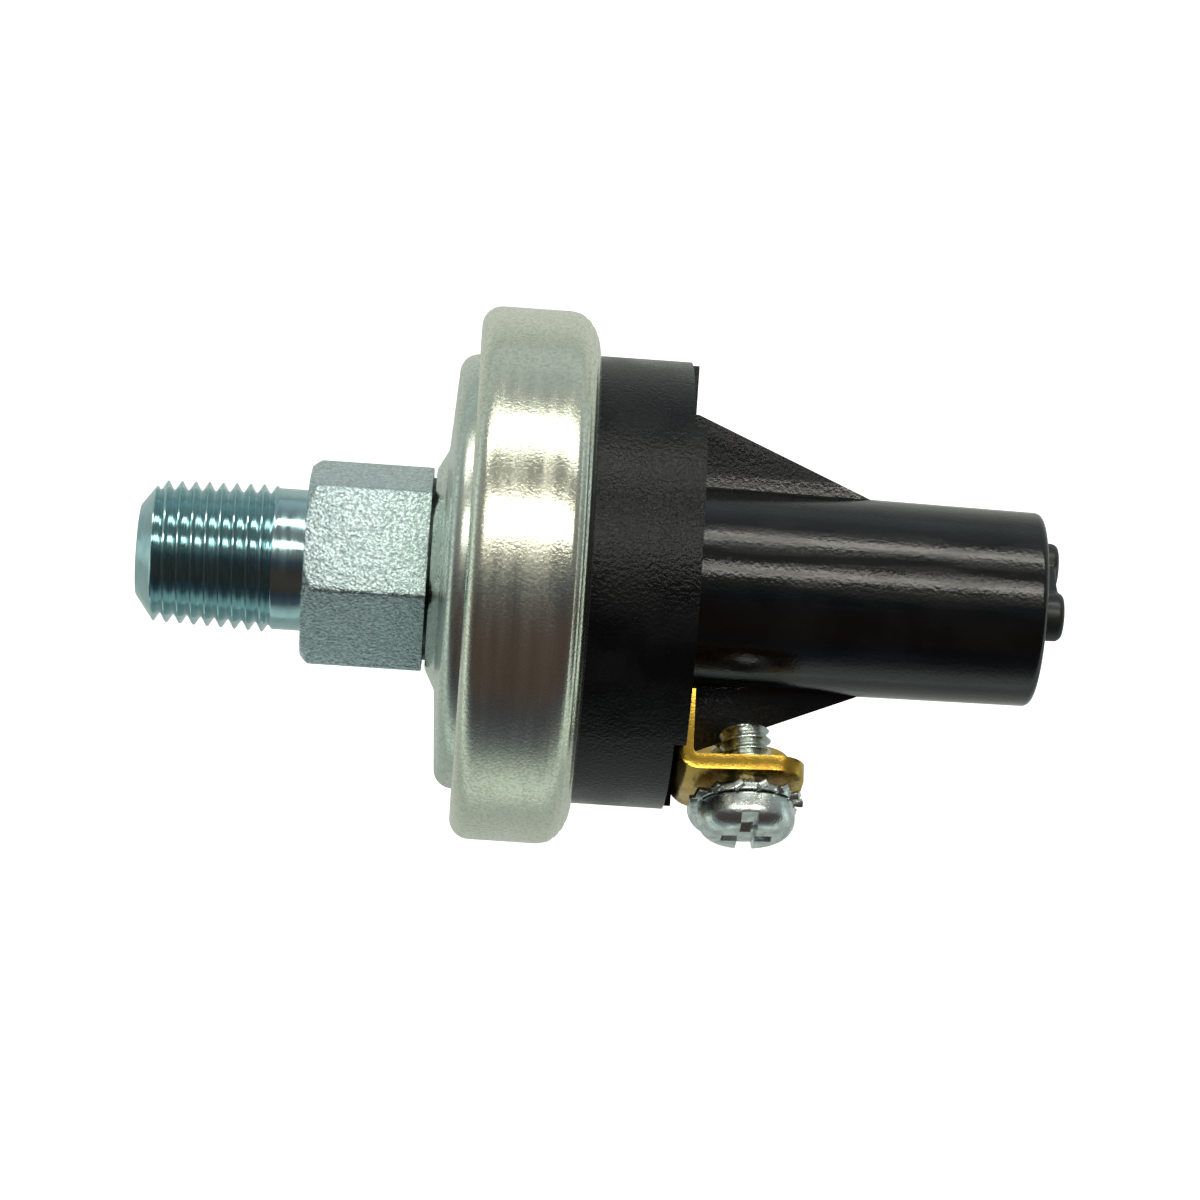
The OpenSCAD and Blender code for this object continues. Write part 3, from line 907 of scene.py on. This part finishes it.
@dataclass
class PortFitting:
    """Threaded port, plain neck, hexagon, and the spigot that holds the cup."""

    pitch: float = 0.9407
    crest_z: float = 1.51
    depth: float = 0.62
    flats: float = 12.7
    turn: float = 15.4
    hex_z: float = 11.5
    hex_end_z: float = 19.9
    sphere_r: float = 11.7
    sphere_z: float = 21.22
    face_r: float = 6.512
    corner_r: float = 0.35
    edge: float = 0.12
    neck_r: float = 4.87
    neck_z: float = 9.55
    tip_r: float = 3.15
    bore_r: float = 1.6
    # Radius of the collar between the hexagon and the cup, which wears a painted shadow.
    shaded_collar_r: float = 6.3
    seat_z: float = 20.08
    spigot_r: float = 5.0
    stake_r: float = 6.2
    stake_z: float = 21.1
    end_z: float = 21.9
    columns: int = 288
    finishes: tuple[str, ...] = ("thread_zinc", "hex_zinc", "painted_shadow_zinc")
    name: str = "fitting_shell"

    def flat_r(self, angle: float) -> float:
        """Radius of the corner-rounded hexagon at an angle.

        Args:
            angle: angle in radians.
        Returns:
            The radius in millimetres.
        """
        from_corner = (math.degrees(angle) - self.turn + 30) % 60 - 30
        to_flat = math.radians(30 - abs(from_corner))
        plain = self.flats / 2 / math.cos(to_flat)
        centre = (self.flats / 2 - self.corner_r) / math.cos(math.radians(30))
        off = math.radians(abs(from_corner))
        tangent = math.atan2(self.corner_r * 0.5, centre + self.corner_r * math.cos(math.radians(30)))
        if off >= tangent:
            return plain
        return centre * math.cos(off) + math.sqrt(self.corner_r**2 - (centre * math.sin(off)) ** 2)

    def sphere_height(self, r: float) -> float:
        """Height of the chamfer at a radius."""
        return max(self.hex_z, self.sphere_z - math.sqrt(self.sphere_r**2 - r * r))

    def section(self, angle: float) -> list[Point]:
        """Outline of the fitting past the thread at an angle.

        Args:
            angle: angle in radians.
        Returns:
            Points from the neck to the tip face, in millimetres.
        """
        full, e = self.flat_r(angle), self.edge
        inner = min(full - e, self.face_r)
        ramp = [inner + (full - e - inner) * k / 4 for k in range(5)]
        top = self.sphere_height(full)
        return (
            [(self.neck_r, self.neck_z), (self.neck_r, self.neck_z + 0.9), (self.neck_r, self.hex_z - 0.18)]
            + [(self.neck_r + 0.05, self.hex_z - 0.05), (self.neck_r + 0.18, self.hex_z)]
            + [(r, self.sphere_height(r)) for r in ramp]
            + [(full - 0.3 * e, top + 0.3 * e), (full, top + e)]
            + [(full, self.hex_end_z - e), (full - 0.3 * e, self.hex_end_z - 0.3 * e)]
            + [(full - e, self.hex_end_z), (self.shaded_collar_r, self.hex_end_z), (self.shaded_collar_r, self.seat_z)]
            + [(self.spigot_r, self.seat_z), (self.spigot_r, self.stake_z)]
            + [(self.stake_r - 0.1, self.stake_z), (self.stake_r, self.stake_z + 0.1)]
            + [(self.stake_r, self.end_z - 0.15), (self.stake_r - 0.15, self.end_z)]
            + [(self.bore_r + 0.15, self.end_z), (self.bore_r, self.end_z - 0.15)]
            + [(self.bore_r, 0.3), (self.bore_r + 0.3, 0), (self.tip_r, 0)]
        )

    def finish_at(self, r: float, z: float) -> int:
        """Slot of the finish that a face of the lathed part wears.

        Args:
            r: radius of the face's middle in millimetres.
            z: its height in millimetres.
        Returns:
            The slot's number.
        """
        # The collar between the hexagon and the cup gets the painted shadow.
        if self.hex_end_z - MERGE / MM < z < self.seat_z + 0.01 and r > self.neck_r:
            return self.finishes.index("painted_shadow_zinc")
        on_hexagon = self.hex_z + 0.02 < z < self.hex_end_z + 0.01 and r > self.stake_r
        return self.finishes.index("hex_zinc" if on_hexagon else "thread_zinc")

    def build(self) -> bpy.types.Object:
        """Builds the fitting and dresses its thread and its hexagon.

        Returns:
            The piece.
        """
        turn = math.radians(self.turn)
        thread = HelixThread(
            length=self.neck_z, pitch=self.pitch, crest_r=self.neck_r, crest_z=self.crest_z, depth=self.depth,
            taper=1 / 32, tip_r=self.tip_r, tip_slope=1.35, end_r=self.neck_r, run_out=0.55,
            columns=self.columns, turn=turn,
        ).build("thread_zinc")
        bm = swept(self.section, self.columns, turn)
        for face in bm.faces:
            mid = face.calc_center_median()
            face.material_index = self.finish_at(mid.xy.length / MM, mid.z / MM)
        bm.from_mesh(thread)
        bmesh.ops.remove_doubles(bm, verts=bm.verts, dist=5 * MERGE)
        return as_object(self.name, bm, self.finishes, 40)


@dataclass
class PressureCup:
    """Drawn cup under the crimp ring."""

    hole_r: float = 5.0
    base_z: float = 20.1
    bend_r: float = 1.3
    wall_r: float = 15.0
    flange_r: float = 17.3
    flange_z: float = 23.5
    sheet: float = 1.0
    columns: int = 216
    name: str = "cup_shell"

    def build(self) -> bpy.types.Object:
        """Builds the cup.

        Returns:
            The piece.
        """
        top_z, bore_r = self.flange_z + self.sheet, self.wall_r - self.sheet
        outer = [(self.hole_r, self.base_z), (6.9, self.base_z, 0.35), (8.3, 20.85, 0.9)]
        outer += arc(self.wall_r - self.bend_r, 22.5, self.bend_r, self.bend_r, -90, 0, 12)
        outer += [(self.wall_r, self.flange_z, 0.1), (self.flange_r, self.flange_z, 0.15)]
        outer += [(self.flange_r, top_z, 0.15)]
        inner = [(bore_r, top_z, 0.1), (bore_r, 22.45), (bore_r - 0.2, 22.2), (8.1, 21.85)]
        inner += [(6.8, self.base_z + self.sheet), (self.hole_r, self.base_z + self.sheet)]
        shell = lathe(rounded(outer + inner, True, 5), self.columns, True)
        return as_object(self.name, shell, ("cup_zinc",), 50)


@dataclass
class CrimpRing:
    """Steel ring whose band is the widest part, rolled over the housing."""

    radius: float = 18.4
    inner_r: float = 15.05
    base_z: float = 22.5
    bend_r: float = 1.4
    sheet: float = 1.0
    groove: float = 0.035
    grooves: tuple[int, ...] = (4, 8, 12)
    crease_z: float = 28.62
    roll_r: float = 15.6
    roll_z: float = 28.6
    roll_outside: Point = (2.8, 2.1)
    roll_inside: Point = (1.8, 1.2)
    columns: int = 256
    name: str = "crimp_ring_shell"

    def build(self) -> bpy.types.Object:
        """Builds the ring.

        Returns:
            The piece.
        """
        bend, top_z = self.bend_r, self.base_z + self.sheet
        points = [(self.inner_r, self.base_z, 0.12)]
        points += arc(self.radius - bend, self.base_z + bend, bend, bend, -90, 0, 14)
        points.append((self.radius, self.crease_z, 0.06))
        for k, (r, z) in enumerate(arc(self.roll_r, self.roll_z, *self.roll_outside, 17, 90, 20)):
            dent = self.groove * (k in self.grooves)
            points.append((r - dent, z - dent))
        points += arc(self.roll_r, self.roll_z, *self.roll_inside, 90, 0, 12)
        points += [(17.4, 24.6), (17.3, top_z), (self.inner_r, top_z)]
        shell = lathe(rounded(points, True, 4), self.columns, True)
        return as_object(self.name, shell, ("ring_zinc",), 50)


@dataclass
class EasedCopy:
    """A copy of a CAD node with its facets merged and its edges eased."""

    node: str
    name: str
    materials: tuple[str, ...]
    radius: float = 0.14
    angle: float = 28
    flat: float = 0.7
    segments: int = 3
    sharp: float = 35

    def build(self) -> bpy.types.Object:
        """Builds the eased copy.

        Returns:
            The piece.
        """
        bm = cad_shell(self.node)
        bmesh.ops.dissolve_limit(bm, angle_limit=math.radians(self.flat), verts=bm.verts, edges=bm.edges)
        made = linked(self.name, as_mesh(self.name, bm))
        bevel = made.modifiers.new("ease", "BEVEL")
        bevel.width = self.radius * MM
        bevel.segments = self.segments
        bevel.limit_method = "ANGLE"
        bevel.angle_limit = math.radians(self.angle)
        bevel.use_clamp_overlap = True
        bevel.miter_outer = "MITER_ARC"
        mesh = applied(made)
        discard(made)
        bm = bmesh.new()
        bm.from_mesh(mesh)
        bmesh.ops.triangulate(bm, faces=[f for f in bm.faces if len(f.verts) > 4])
        return as_object(self.name, bm, self.materials, self.sharp)


@dataclass
class TerminalScrew:
    """Pan-head terminal screw with a combined cross and slot recess."""

    side: Side
    tip: float = 10.15
    seat: float = 15.8
    shank_r: float = 1.753
    root_r: float = 1.38
    pitch: float = 0.794
    head_r: float = 3.3
    head_h: float = 2.3
    head_edge: float = 1.35
    ease: float = 0.07
    columns: int = 96

    # Height from the head's top, half width and half length at both ends of a recess.
    CROSS = ((0.3, 0.62, 1.95), (-1.4, 0.28, 0.7))
    SLOT = ((0.3, 0.6, 6.0), (-0.85, 0.56, 6.0))

    @property
    def top(self) -> float:
        """Height of the head's top."""
        return self.seat + self.head_h

    def cutter(self) -> bpy.types.Object:
        """Builds the tapered cross and the slot that are cut from the head.

        Returns:
            The cutter.
        """
        bm = bmesh.new()
        for ends, turn in ((self.CROSS, 0), (self.CROSS, math.pi / 2), (self.SLOT, 0)):
            spin = Matrix.Rotation(turn, 3, "Z")
            loops = []
            for rise, half, reach in ends:
                z = self.top + rise
                corners = ((-half, -reach), (half, -reach), (half, reach), (-half, reach))
                loops.append([bm.verts.new(spin @ Vector((x * MM, y * MM, z * MM))) for x, y in corners])
            boxed(bm, loops)
        return as_object("cutter", bm, (), 30)

    def head(self) -> bpy.types.Object:
        """Builds the head with its recess.

        Returns:
            The head as an object in the screw's own axes.
        """
        edge = self.head_edge
        points = [(self.root_r, self.seat), (self.head_r, self.seat, 0.15)]
        points += arc(self.head_r - edge, self.top - edge, edge, edge, 0, 80, 12)
        points += [(0.0, self.top)]
        shell = lathe(rounded(points, False, 4), self.columns)
        rim = [v for v in shell.verts if abs(Vector(v.co.xy).length - self.root_r * MM) < 1e-6]
        bmesh.ops.contextual_create(shell, geom=rim)
        made = as_object("head", shell, (), 35)
        tool = self.cutter()
        cut = made.modifiers.new("recess", "BOOLEAN")
        cut.operation, cut.solver, cut.object, cut.use_self = "DIFFERENCE", "EXACT", tool, True
        ease = made.modifiers.new("ease", "BEVEL")
        ease.width, ease.segments, ease.limit_method = self.ease * MM, 2, "ANGLE"
        ease.angle_limit = math.radians(38)
        bake(made)
        discard(tool)
        return made

    def build(self) -> bpy.types.Object:
        """Builds the screw.

        Returns:
            The piece.
        """
        head = self.head()
        thread = HelixThread(
            length=self.seat - self.tip + 0.05, pitch=self.pitch, crest_r=self.shank_r, crest_z=0.55,
            depth=self.shank_r - self.root_r, taper=0, tip_r=1.2, tip_slope=1.6, end_r=self.root_r,
            run_out=0.3, columns=72,
        ).build("screw_zinc")
        thread.transform(Matrix.Translation((0, 0, self.tip * MM)))
        bm = bmesh.new()
        bm.from_mesh(thread)
        tip = [v for v in bm.verts if abs(v.co.z - self.tip * MM) < 1e-7]
        bmesh.ops.contextual_create(bm, geom=tip)
        bm.from_mesh(head.data)
        discard(head)
        bmesh.ops.transform(bm, matrix=terminal_axes(self.side), verts=bm.verts)
        return as_object(f"{self.side.label}_screw_shell", bm, ("screw_zinc",), 38)


def terminal_axes(side: Side) -> Matrix:
    """Axes of a terminal screw in the row frame: local +Z points out through the head.

    Args:
        side: which terminal.
    Returns:
        The matrix, in metres.
    """
    turn = Matrix.Rotation(math.radians(-90 - side.value * TERMINAL_TURN), 4, "Z")
    lean = Matrix.Rotation(math.radians(90 - TERMINAL_DROOP), 4, "Y")
    return turn @ Matrix.Translation((0, 0, TERMINAL_Z * MM)) @ lean


@dataclass
class LockWasher:
    """External-tooth lock washer: a flat ring and twisted teeth."""

    side: Side
    middle: float = 15.45
    thick: float = 0.5
    inner_r: float = 1.903
    ring_r: float = 3.4
    teeth: int = 14
    columns: int = 84
    reach: float = 0.5
    tilt: float = 35
    edge: float = 0.08
    tooth_edge: float = 0.04

    GROUP = "washer_teeth"

    def tooth(self) -> bpy.types.Mesh:
        """Builds one twisted tooth along +X from its root.

        Returns:
            The tooth's mesh.
        """
        bm = bmesh.new()
        loops = []
        # Distance from the root, share of the twist and half width at each station.
        stations = ((-0.55, 0.0, 0.50), (-0.25, 0.35, 0.44), (0.1, 0.85, 0.38))
        stations += ((self.reach - 0.06, 1.0, 0.34), (self.reach, 1.0, 0.3))
        for x, twist, half in stations:
            spin = Matrix.Rotation(math.radians(self.tilt) * twist, 3, "X")
            depth = self.thick * (0.47 if x < self.reach else 0.4)
            along = Vector((x * MM, 0, 0))
            corners = ((-half, -depth), (half, -depth), (half, depth), (-half, depth))
            loops.append([bm.verts.new(spin @ Vector((0, y * MM, z * MM)) + along) for y, z in corners])
        boxed(bm, loops)
        bmesh.ops.recalc_face_normals(bm, faces=bm.faces)
        crisp = [edge for edge in bm.edges if edge.calc_face_angle(0) > 1]
        bmesh.ops.bevel(
            bm, geom=crisp, offset=self.tooth_edge * MM, segments=2, profile=0.5, affect="EDGES"
        )
        return as_mesh("tooth", bm)

    def group(self) -> bpy.types.NodeTree:
        """Builds the group that sets the teeth round the ring.

        Returns:
            The group.
        """
        if self.GROUP in bpy.data.node_groups:
            return bpy.data.node_groups[self.GROUP]
        group, tree, given, out = geometry_group(self.GROUP, {"Root Radius": 0.003, "Teeth": 14})
        points = tree.node(
            "GeometryNodeMeshCircle", {"Vertices": given["Teeth"], "Radius": given["Root Radius"]}
        )
        index = tree.node("GeometryNodeInputIndex").outputs[0]
        angle = tree.over(tree.times(index, 2 * math.pi), given["Teeth"])
        spin = tree.node("ShaderNodeCombineXYZ", {2: angle})
        placed = tree.node(
            "GeometryNodeInstanceOnPoints",
            {"Points": points.outputs[0], "Instance": given["Geometry"], "Rotation": spin.outputs[0]},
        )
        tree.feed(out.inputs[0], dressed(tree, placed.outputs[0], given["Material"]))
        return group

    def build(self) -> bpy.types.Object:
        """Builds the washer.

        Returns:
            The piece.
        """
        root = (self.ring_r - 0.04) * MM
        inputs = {"Root Radius": root, "Teeth": self.teeth, "Material": MATERIALS["washer_zinc"]}
        teeth = run_geometry("teeth_host", self.tooth(), self.group(), inputs)
        half = self.thick / 2
        outline = ((self.inner_r, -half), (self.ring_r, -half), (self.ring_r, half), (self.inner_r, half))
        bm = lathe(rounded([(*corner, self.edge) for corner in outline], True, 3), self.columns, True)
        bm.from_mesh(teeth)
        lift = Matrix.Translation((0, 0, self.middle * MM))
        bmesh.ops.transform(bm, matrix=terminal_axes(self.side) @ lift, verts=bm.verts)
        return as_object(f"{self.side.label}_washer_shell", bm, ("washer_zinc",), 38)


@dataclass
class SealPlug:
    """Soft plug in the tower's end, remeshed so that its lobes melt into its face."""

    node: str = "seal_plug"
    voxel: float = 0.11
    softening: int = 20
    name: str = "seal_plug_shell"

    def build(self) -> bpy.types.Object:
        """Builds the plug.

        Returns:
            The piece.
        """
        made = as_object(self.name, cad_shell(self.node), ("plug_rubber",), 60)
        remesh = made.modifiers.new("melt", "REMESH")
        remesh.mode, remesh.voxel_size, remesh.use_smooth_shade = "VOXEL", self.voxel * MM, True
        smooth = made.modifiers.new("soften", "SMOOTH")
        smooth.factor, smooth.iterations = 0.5, self.softening
        bake(made)
        if not made.data.materials:
            made.data.materials.append(MATERIALS["plug_rubber"])
        made.data.shade_smooth()
        return made


@dataclass
class RangeSpring:
    """Coil spring, a copy of its CAD node's mesh that rides on the piston."""

    node: str = "range_spring"
    foot_z: float = 32.4
    length: float = 18.5
    travel: float = 0.7
    name: str = "range_spring_coil"

    def build(self) -> bpy.types.Object:
        """Builds the spring.

        Returns:
            The piece.
        """
        return as_object(self.name, cad_shell(self.node), ("spring_steel",), 50)

    def shorten(self, piece: bpy.types.Object) -> None:
        """Gives the spring its own copy of its mesh.

        Args:
            piece: the spring.
        """
        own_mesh(piece)


@dataclass
class Studio:
    """Floor, lights, world and camera. The lights' distance and length and the floor are in metres."""

    tilt: float = 3.87
    yaw: float = 2.06
    distance: float = 275.0
    lens: float = 119.37
    sensor: float = 36.0
    aim_z: float = 31.8
    aim_drop: float = 1.35
    mid_z: float = 31.0
    light_distance: float = 0.6
    light_length: float = 0.9
    floor_x: float = 360.0
    floor_reach: float = 0.9
    floor_glow: Colour = (0.17, 0.22, 0.21)

    # The room's colour by the angle from the camera's direction towards +Y, in degrees.
    ROOM = (
        (-180, (0.84, 0.94, 0.88)),
        (-120, (0.80, 0.92, 0.84)),
        (-95, (0.56, 0.65, 0.60)),
        (-80, (0.10, 0.11, 0.13)),
        (-62, (0.04, 0.045, 0.06)),
        (-50, (0.075, 0.05, 0.04)),
        (-20, (0.07, 0.05, 0.045)),
        (-5, (0.05, 0.06, 0.08)),
        (10, (0.22, 0.22, 0.21)),
        (40, (0.24, 0.24, 0.23)),
        (80, (0.30, 0.33, 0.34)),
        (105, (0.50, 0.58, 0.58)),
        (140, (0.78, 0.93, 0.96)),
        (180, (0.84, 0.94, 0.88)),
    )

    def axes(self) -> tuple[Vector, Vector, Vector]:
        """The camera's directions.

        Returns:
            Right, up and back.
        """
        t, p = math.radians(self.tilt), math.radians(self.yaw)
        st, ct, sp, cp = math.sin(t), math.cos(t), math.sin(p), math.cos(p)
        return Vector((-ct * sp, st, ct * cp)), Vector((st * sp, ct, -st * cp)), Vector((-cp, 0, -sp))

    def camera(self) -> None:
        """Sets the scene's camera."""
        right, up, back = self.axes()
        data = bpy.data.cameras.new("camera")
        data.lens, data.sensor_width, data.clip_start = self.lens, self.sensor, 0.01
        made = linked("camera", data)
        place = Matrix((right, up, back)).transposed().to_4x4()
        place.translation = (Vector((0, 0, self.aim_z)) - up * self.aim_drop + back * self.distance) * MM
        made.matrix_world = place
        bpy.context.scene.camera = made

    def light(self, name: str, angle: float, spread: float, glow: float, colour: Colour) -> None:
        """Hangs one long softbox, parallel to the switch's axis.

        Args:
            name: the light's name.
            angle: degrees from the camera's direction towards +Y.
            spread: how wide it looks from the switch, in degrees.
            glow: its brightness.
            colour: its colour.
        """
        a, far = math.radians(angle), self.light_distance
        away, up = Vector((-math.cos(a), math.sin(a), 0)), Vector((0, 0, 1))
        data = bpy.data.lights.new(name, "AREA")
        data.shape = "RECTANGLE"
        data.size, data.size_y = 2 * far * math.tan(math.radians(spread / 2)), self.light_length
        data.energy, data.color = glow * math.pi * data.size * data.size_y, colour
        made = linked(name, data)
        place = Matrix((up.cross(away), up, away)).transposed().to_4x4()
        place.translation = away * far + up * self.mid_z * MM
        made.matrix_world = place
        made.visible_camera = False

    def world(self) -> None:
        """White to the camera, and a dim room with a dark side for light and reflections."""
        made = bpy.data.worlds.new("room")
        bpy.context.scene.world = made
        made.use_nodes = True
        tree = Tree(made.node_tree)
        tree.tree.nodes.clear()
        way = tree.node("ShaderNodeSeparateXYZ", {0: tree.node("ShaderNodeTexCoord").outputs["Generated"]})
        turn = tree.math("ARCTAN2", way.outputs[1], tree.times(way.outputs[0], -1))
        share = tree.plus(tree.over(turn, 2 * math.pi), 0.5)
        ramp = tree.node("ShaderNodeValToRGB", {0: share})
        elements = ramp.color_ramp.elements
        while len(elements) < len(self.ROOM):
            elements.new(0.5)
        for element, (angle, colour) in zip(elements, self.ROOM):
            element.position, element.color = angle / 360 + 0.5, (*colour, 1)
        room = tree.node("ShaderNodeBackground", {0: ramp.outputs[0], 1: 1.0})
        white = tree.node("ShaderNodeBackground", {0: (1, 1, 1, 1), 1: 1.0})
        seen = tree.node("ShaderNodeLightPath").outputs["Is Camera Ray"]
        mix = tree.node("ShaderNodeMixShader", {0: seen, 1: room.outputs[0], 2: white.outputs[0]})
        tree.node("ShaderNodeOutputWorld", {0: mix.outputs[0]})

    def floor(self) -> None:
        """Lays the pale floor, well behind the switch."""
        bm = bmesh.new()
        bmesh.ops.create_grid(bm, x_segments=8, y_segments=8, size=self.floor_reach)
        bmesh.ops.transform(bm, matrix=Matrix.Rotation(math.radians(-90), 4, "Y"), verts=bm.verts)
        bmesh.ops.translate(bm, vec=(self.floor_x * MM, 0, self.mid_z * MM), verts=bm.verts)
        mesh = as_mesh("floor", bm)
        material = bpy.data.materials.new("floor_white")
        material.use_nodes = True
        tree = Tree(material.node_tree)
        shader = material.node_tree.nodes["Principled BSDF"]
        tree.feed(shader.inputs["Base Color"], (0.8, 0.8, 0.8, 1))
        tree.feed(shader.inputs["Roughness"], 0.9)
        seen = tree.node("ShaderNodeLightPath").outputs["Is Camera Ray"]
        tree.feed(shader.inputs["Emission Color"], tree.colour_mix(seen, self.floor_glow, (1.0, 1.0, 1.0)))
        tree.feed(shader.inputs["Emission Strength"], 1.0)
        mesh.materials.append(material)
        made = linked("floor", mesh)

    def build(self) -> None:
        """Sets up the whole studio."""
        self.camera()
        self.light("softbox_low", 23, 8, 8.0, (1.0, 0.98, 0.88))
        self.light("softbox_high", 62, 9, 7.0, (1.0, 0.99, 0.88))
        self.world()
        self.floor()
        bpy.context.scene.view_settings.view_transform = "Standard"


CAD_FINISHES: dict[str, tuple[str, ...]] = {
    "gasket_rubber": ("flange_gasket",),
    "diaphragm_film": ("diaphragm",),
    "piston_plastic": ("piston", "spring_cup"),
    "guide_board": ("piston_guide",),
    "bridge_copper": ("contact_bridge",),
    "contact_silver": ("bridge_contacts", "fixed_contacts"),
    "spring_steel": ("range_spring",),
    "seat_steel": ("spring_seat",),
    "adjuster_brass": ("calibration_screw",),
    "thread_zinc": ("port_fitting",),
    "cup_zinc": ("pressure_cup",),
    "ring_zinc": ("crimp_ring",),
    "housing_black": ("housing",),
    "terminal_brass": ("left_terminal", "right_terminal"),
    "screw_zinc": ("left_screw", "right_screw"),
    "washer_zinc": ("left_washer", "right_washer"),
    "plug_rubber": ("seal_plug",),
}


def dress_cad_nodes() -> None:
    """Gives every CAD node its finish in the slots it has."""
    for finish, nodes in CAD_FINISHES.items():
        for node in nodes:
            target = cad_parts[node]
            if not target.material_slots:
                target.data.materials.append(MATERIALS[finish])
            for slot in target.material_slots:
                slot.material = MATERIALS[finish]
            log.info("dressed %s in %s", node, finish)


def place(piece: bpy.types.Object, node: str, body: Body, slot: str) -> None:
    """Lets a piece stand for its CAD node and ride on the node's body.

    Args:
        piece: the piece.
        node: the CAD node it stands for.
        body: the body it rides on.
        slot: the record's material slot; not used.
    """
    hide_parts(node)
    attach(piece, body.value)
    low, high = (Vector(map(f, *[v.co for v in piece.data.vertices])).to_tuple(5) for f in (min, max))
    log.info("%s: %d faces, %s to %s", piece.name, len(piece.data.polygons), low, high)


def main() -> None:
    """Builds the visual model."""
    logging.basicConfig(level=logging.INFO, format="%(message)s")
    Studio().build()
    dress_cad_nodes()
    place(PortFitting().build(), "port_fitting", Body.SWITCH, "fitting_zinc")
    place(PressureCup().build(), "pressure_cup", Body.SWITCH, "cup_zinc")
    place(CrimpRing().build(), "crimp_ring", Body.SWITCH, "ring_zinc")
    housing = EasedCopy("housing", "housing_shell", ("housing_black",), 0.16)
    place(housing.build(), "housing", Body.SWITCH, "housing_black")
    place(SealPlug().build(), "seal_plug", Body.PLUG, "plug_rubber")
    spring = RangeSpring()
    coil = spring.build()
    place(coil, "range_spring", Body.PISTON, "spring_steel")
    spring.shorten(coil)
    for side in Side:
        node = f"{side.label}_terminal"
        terminal = EasedCopy(node, f"{node}_shell", ("terminal_brass",), 0.13)
        place(terminal.build(), node, Body.SWITCH, "terminal_brass")
        place(TerminalScrew(side).build(), f"{side.label}_screw", Body[f"{side.name}_SCREW"], "screw_zinc")
        place(LockWasher(side).build(), f"{side.label}_washer", Body[f"{side.name}_WASHER"], "washer_zinc")


if __name__ == "__main__":
    main()
